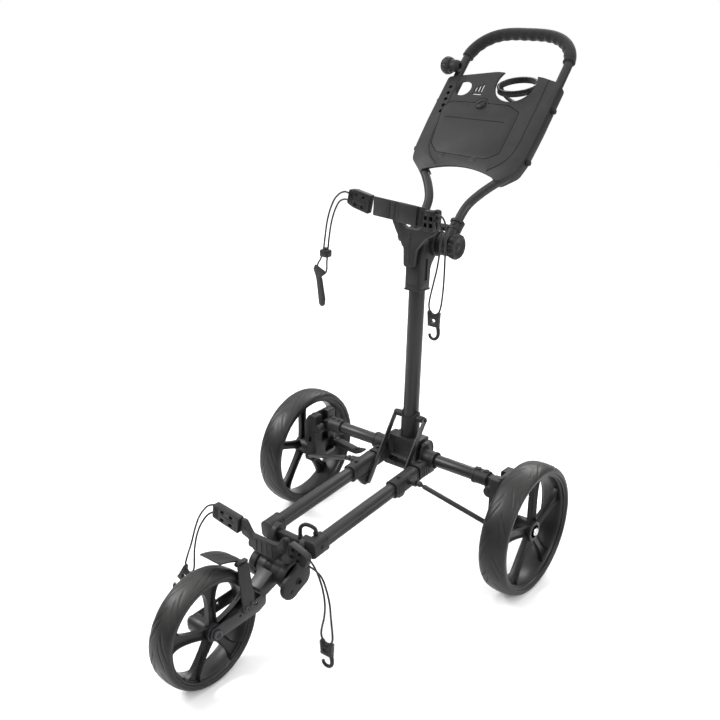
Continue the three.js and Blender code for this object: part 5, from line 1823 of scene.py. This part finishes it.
@dataclass
class Hook:
    """A moulded hook: an eared saddle for the cord, a window, a cross bar and a curled lip."""

    name: str
    node: str
    place: Matrix
    length: float
    thick: float = 10

    def build(self, shop: Workshop) -> None:
        """Make the hook."""
        n = self.length
        saddle = rounded([(-15, 4), (-9, 4), (-6, -4), (6, -4), (9, 4), (15, 4), (13.5, -n * 0.42),
                          (-13, -n * 0.42)], 3)
        clay = Clay(self.place).plate(saddle, Plane.XZ, -5, 5, soft=1.3)
        clay.carve(Clay().plate([(a, b - n * 0.25) for a, b in rounded_box(13, n * 0.16, 3.4, 6)], Plane.XZ,
                                -8, 8,
                                soft=0))
        curl = smooth_path([(9.5, 0, -n * 0.38), (12.2, 0, -n * 0.6), (11.4, 0, -n * 0.78),
                            (5.5, 0, -n * 0.9),
                            (-3, 0, -n * 0.92), (-8.4, 0, -n * 0.86), (-10.2, 0, -n * 0.76)], 8)
        clay.swept(curl, lambda share, angle: 4.4 - 1.4 * share, 24, up=(0, 1, 0))
        clay.block(-14, 14, -4.6, 4.6, -n * 0.47, -n * 0.38, soft=1.6)
        for x in (-12, 12):
            clay.ball(3.4, x, 0, 2.6 if n > 0 else 0)
        shop.finish(clay, self.name, self.node)


@dataclass
class Cord:
    """One elastic cord: its route in the cart's frame, and the pieces that hang on it."""

    name: str
    route: Sequence[Point]
    hangs: Sequence[str]
    diameter: float = 4

    def build(self, shop: Workshop) -> None:
        path = smooth_path(self.route, 8)
        clay = Clay().swept(path, lambda share, angle: self.diameter / 2, 20, up=(0, 1, 0))
        piece = shop.finish(clay, f"elastic_{self.name}", self.name, smooth=60)


@dataclass
class BagFixings:
    """The lower rest, the upper strap, the buckles, the hooks and the elastic cords."""

    def rest(self) -> Clay:
        """Model the lower rest for the bag."""
        back = LAY.head_y - 6
        foot = LAY.head_z + 30.3
        outline = rounded([
            (-62, foot + 40), (-44, foot + 36), (-30, foot + 14), (30, foot + 14), (44, foot + 36),
            (62, foot + 40),
            (62, foot + 74), (50, foot + 74), (34, foot + 50), (-34, foot + 50), (-50, foot + 74),
            (-62, foot + 74),
        ], 5)
        clay = Clay().plate(outline, Plane.XZ, back - 24, back - 14, soft=1.8)
        for x in (-21, -7, 7, 21):
            clay.block(x - 1.4, x + 1.4, back - 24.8, back - 20, foot + 17, foot + 47, soft=0.7)
        clay.block(-28, 28, back - 24.9, back - 20, foot + 45, foot + 49.6, soft=1.2)
        for side in Side:
            leg = rounded([(back - 22, foot + 30), (back - 22, foot + 18), (LAY.head_y - 8, foot),
                           (LAY.head_y + 9, foot), (LAY.head_y + 7, foot + 10), (back - 14, foot + 34)], 4)
            clay.plate(leg, Plane.YZ, 33, 45, soft=1.6, move=side.mirror)
            clay.drum(Axis.Y, 4.6, back - 25, back - 20, 53, foot + 55, 32, 0.8, move=side.mirror)
        return clay

    def strap(self) -> Clay:
        """Model the upper strap: folded webbing with a keeper and stitched ends."""
        turn = Matrix.Translation((0, 0, 539)) @ Matrix.Rotation(math.radians(3), 4, "Y")
        clay = Clay(LAY.mast)
        back = -38.6
        clay.block(-96, 38, back - 3, back, -20.5, 20.5, soft=0.7, move=turn)
        clay.block(-94, -52, back - 4.6, back - 2, -20.3, 20.3, soft=0.7, move=turn)
        for z in (-19.2, 18.0):
            clay.block(-95, 37, back - 3.5, back - 2, z, z + 1.4, soft=0.3, move=turn)
        for x in (-90, -60, -40, 30):
            for i in range(9):
                z = -17 + 4 * i
                clay.block(x, x + 0.8, back - 5.1, back - 2, z, z + 2.4, soft=0.25, move=turn)
        return clay

    def keeper(self) -> Clay:
        """Model the box-like keeper round the strap."""
        turn = Matrix.Translation((0, 0, 539)) @ Matrix.Rotation(math.radians(3), 4, "Y")
        clay = Clay(LAY.mast).block(-30, 21, -46.6, -39.2, -21.5, 21.5, soft=2.6, move=turn)
        return clay.block(-27.5, -25, -46.9, -43, -20, 20, soft=0.4, move=turn)

    def tab(self) -> Clay:
        """Model the folded webbing pull tab on its ring."""
        outline = rounded([(-267, 634), (-237, 622), (-240, 612), (-249, 606), (-245, 582), (-238, 552),
                           (-240, 538),
                           (-251, 534), (-257, 540), (-261, 577), (-265, 604), (-273, 622)], 4)
        clay = Clay().plate(outline, Plane.XZ, -12.6, -9.6, soft=0.9)
        fold = rounded([(-249, 604), (-245, 580), (-239.5, 550), (-256, 540), (-260, 575), (-263, 603)], 3)
        clay.plate(fold, Plane.XZ, -9.4, -7.2, soft=0.8)
        for i in range(5):
            clay.block(-262 + 3 * i, -260.4 + 3 * i, -13, -12, 598, 599, soft=0.2)
        return clay

    def lock(self) -> Clay:
        """Model the barrel cord lock."""
        clay = Clay().block(-248, -224, -19.6, -0.4, 656, 674, soft=4.0)
        clay.drum(Axis.X, 7.2, -246, -226, -10, 667, 40, 2.0)
        clay.drum(Axis.Z, 6.4, 672, 678, -236, -10, 40, 1.6)
        return clay

    def build(self, shop: Workshop) -> None:
        """Make the fixings."""
        shop.finish(self.rest(), "lower_bag_rest", "lower_cradle")
        shop.finish(self.strap(), "bag_strap_webbing", "upper_strap")
        shop.finish(self.keeper(), "strap_keeper", body=shop.body_of["upper_strap"], slot="buckle_plastic")
        shop.finish(self.lock(), "barrel_cord_lock", "cord_lock")
        shop.finish(self.tab(), "folded_pull_tab", "pull_tab")
        turn = math.radians
        Buckle("strap_buckle_left", "upper_buckle_left", LAY.mast @ Matrix.Translation((-101.5, -41.6, 545))
               @ Matrix.Rotation(turn(11), 4, "Y"), 61, 42, 31, 14).build(shop)
        Buckle("strap_buckle_right", "upper_buckle_right", LAY.mast @ Matrix.Translation((55, -45.6, 512))
               @ Matrix.Rotation(turn(90), 4, "Y"), 44, 26, 20, 14).build(shop)
        rest_y = LAY.head_y - 25
        rest_z = LAY.head_z + 30.3 + 57
        Buckle("rest_buckle_left", "lower_buckle_left", Matrix.Translation((-65, rest_y - 2, rest_z))
               @ Matrix.Rotation(turn(8), 4, "Y"), 74, 36, 32, 16).build(shop)
        Buckle("rest_buckle_right", "lower_buckle_right", Matrix.Translation((66.5, rest_y - 2, rest_z))
               @ Matrix.Rotation(turn(14), 4, "Y") @ Side.RIGHT.mirror, 50, 32, 24, 16).build(shop)
        Hook("bag_hook_upper_right", "hook_upper_right", Matrix.Translation((76, -24, 590)), 62).build(shop)
        Hook("bag_hook_lower_right", "hook_lower_right", Matrix.Translation((171, -492, 72)), 56).build(shop)
        Hook("bag_hook_lower_left", "hook_lower_left", Matrix.Translation((-172, -528, 110))
             @ Matrix.Rotation(turn(30), 4, "Y") @ Matrix.Rotation(turn(-12), 4, "X"), 70).build(shop)
        for name, hangs in CORD_HANGS.items():
            Cord(name, CORD_ROUTES[name], hangs).build(shop)


CORD_HANGS = {
    "cord_upper_left": ("barrel_cord_lock", "folded_pull_tab"),
    "cord_upper_right": ("bag_hook_upper_right",),
    "cord_lower_left": ("bag_hook_lower_left",),
    "cord_lower_right": ("bag_hook_lower_right",),
}
CORD_ROUTES: dict[str, list[Point]] = {
    "cord_upper_left": [
        (-161.5, -15, 813), (-174, -14.5, 815), (-188, -14, 810), (-203, -14, 797), (-216, -14, 774),
        (-227, -14, 742), (-234, -14, 704), (-240, -14, 670), (-250, -13, 648), (-258, -12, 637),
        (-261, -11, 625.5), (-257.5, -10, 616.5), (-248.5, -9, 612.5), (-239.5, -8, 616.5), (-236, -7, 626),
        (-236, -6.3, 642), (-233.5, -6, 665), (-229, -6, 700), (-221, -6, 740), (-209, -7, 770),
        (-194, -10, 790), (-178, -13, 797.5), (-164.5, -15, 798.5),
    ],
    "cord_upper_right": [
        (68.5, -18.5, 799), (76, -18.5, 799.5), (85, -19, 797), (92, -20, 789), (96, -21, 775),
        (98, -23, 745), (98.5, -24, 710), (98, -24, 670), (95.5, -24, 630), (92, -24, 606), (88, -24, 595),
        (80, -24, 588.5), (71, -24, 589.5), (64.5, -24, 596), (62.5, -24, 606), (65, -24, 625),
        (72, -24, 655), (80, -24, 690), (85, -24, 725), (86.5, -23, 755), (85, -21, 773), (80, -19.5, 783),
        (74, -18.5, 786.5), (68.5, -18.5, 787),
    ],
    "cord_lower_left": [
        (-140, -477, 254), (-153, -483, 249), (-166, -494, 228), (-172, -503, 202), (-176, -513, 168),
        (-183, -522, 134), (-185, -525, 120), (-181.3, -527.5, 110.6), (-172, -528.5, 106.5),
        (-162.7, -527.5, 110.6), (-159, -525.5, 120), (-160, -522.5, 136), (-162, -518, 160),
        (-163, -508, 190), (-160, -497, 212), (-152, -485, 230), (-142, -477, 237),
    ],
    "cord_lower_right": [
        (117, -477, 228), (129, -480, 223), (144, -484, 210), (158, -488, 188), (166, -491, 160),
        (165, -492, 130), (159, -492, 104), (157, -492, 87), (161.2, -492, 76.6), (171, -492, 72.5),
        (180.8, -492, 76.6), (185, -492, 87), (184, -491.5, 103), (180, -490, 130), (175, -488, 162),
        (164, -484, 186), (148, -479, 204), (130, -477, 211), (114.5, -477, 214),
    ],
}


# ---- Studio -------------------------------------------------------------------------------------------
@dataclass
class Studio:
    """The plain pale floor, the soft lights and the camera."""

    eye: Point = (1.15905, -1.48097, 1.24997)
    back: Point = (0.57948, -0.72700, 0.36833)
    up: Point = (-0.229, 0.288, 0.930)
    roll: float = 0.172
    lens: float = 48.26
    ambient: float = 0.3
    backdrop: float = 1.0

    def camera(self) -> None:
        """Place the camera."""
        data = bpy.data.cameras.new("camera")
        data.lens = self.lens
        data.sensor_width = 36
        data.clip_end = 50
        turn = Vector(self.back).to_track_quat("Z", "Y").to_matrix().to_4x4()
        turn = turn @ Matrix.Rotation(math.radians(self.roll), 4, "Z")
        made = bpy.data.objects.new("camera", data)
        made.matrix_world = Matrix.Translation(self.eye) @ turn
        bpy.context.scene.collection.objects.link(made)
        bpy.context.scene.camera = made

    def light(self, name: str, place: Point, size: float, power: float) -> None:
        """Hang one soft square light that points at the cart.

        Args:
            name: The light's name.
            place: Where it hangs.
            size: Its width.
            power: Its power in watts.
        """
        data = bpy.data.lights.new(name, "AREA")
        data.shape = "SQUARE"
        data.size = size
        data.energy = power
        made = bpy.data.objects.new(name, data)
        aim = Vector(place) - Vector((0, 0, 0.5))
        made.matrix_world = Matrix.Translation(place) @ aim.to_track_quat("Z", "Y").to_matrix().to_4x4()
        bpy.context.scene.collection.objects.link(made)

    def floor(self) -> None:
        """Lay the floor."""
        part = bmesh.new()
        bmesh.ops.create_grid(part, x_segments=1, y_segments=1, size=5)
        mesh = bpy.data.meshes.new("studio_floor")
        part.to_mesh(mesh)
        part.free()
        made = bpy.data.objects.new("studio_floor", mesh)
        bpy.context.scene.collection.objects.link(made)
        material = bpy.data.materials.new("Pale floor")
        material.use_nodes = True
        shader = material.node_tree.nodes["Principled BSDF"]
        shader.inputs["Base Color"].default_value = (0.94, 0.94, 0.94, 1)
        shader.inputs["Roughness"].default_value = 0.9
        shader.inputs["Specular IOR Level"].default_value = 0.1
        mesh.materials.append(material)

    def build(self) -> None:
        """Set the studio up."""
        self.camera()
        self.floor()
        scene = bpy.context.scene
        scene.view_settings.view_transform = "Standard"
        world = bpy.data.worlds.new("studio")
        world.use_nodes = True
        tree = world.node_tree
        soft = tree.nodes["Background"]
        soft.inputs[0].default_value = (1, 1, 1, 1)
        soft.inputs[1].default_value = self.ambient
        bright = add_node(tree, "ShaderNodeBackground", {},
                          {"Color": (1, 1, 1, 1), "Strength": self.backdrop})
        path = add_node(tree, "ShaderNodeLightPath", {}, {})
        mixed = add_node(tree, "ShaderNodeMixShader", {}, {})
        tree.links.new(path.outputs["Is Camera Ray"], mixed.inputs[0])
        tree.links.new(soft.outputs[0], mixed.inputs[1])
        tree.links.new(bright.outputs[0], mixed.inputs[2])
        tree.links.new(mixed.outputs[0], tree.nodes["World Output"].inputs[0])
        scene.world = world
        self.light("overhead", (0, 0, 5), 20, 1350)
        self.light("key", (-1.8, -1.2, 2.2), 0.9, 60)
        self.light("fill", (2.6, -0.2, 1.5), 1.0, 34)
        self.light("rim", (-0.7, 2.5, 2.2), 1.3, 34)


# ---- Whole cart ---------------------------------------------------------------------------------------
def dress_nodes(shop: Workshop) -> None:
    """Give every CAD node still showing its slot's finish.

    Args:
        shop: The workshop with the finishes.
    """
    for name, node in frame["nodes"].items():
        node.data.materials.clear()
        node.data.materials.append(shop.materials[shop.slot_of[name]])


def write_sizes() -> None:
    """Bring the view layer up to date."""
    bpy.context.view_layer.update()


def main() -> None:
    """Build the studio and every sub-assembly of the cart."""
    logging.basicConfig(level=logging.INFO, format="%(name)s %(message)s")
    Studio().build()
    shop = Workshop.open()
    dress_nodes(shop)
    for part in (BagFixings(), Chassis(), Linkage(), Wheels(), FrontEnd(), Mast(), Handle()):
        part.build(shop)
        LOG.info("%s is in place", type(part).__name__)
    LOG.info("%d pieces made", shop.made)
    write_sizes()


if __name__ == "__main__":
    main()
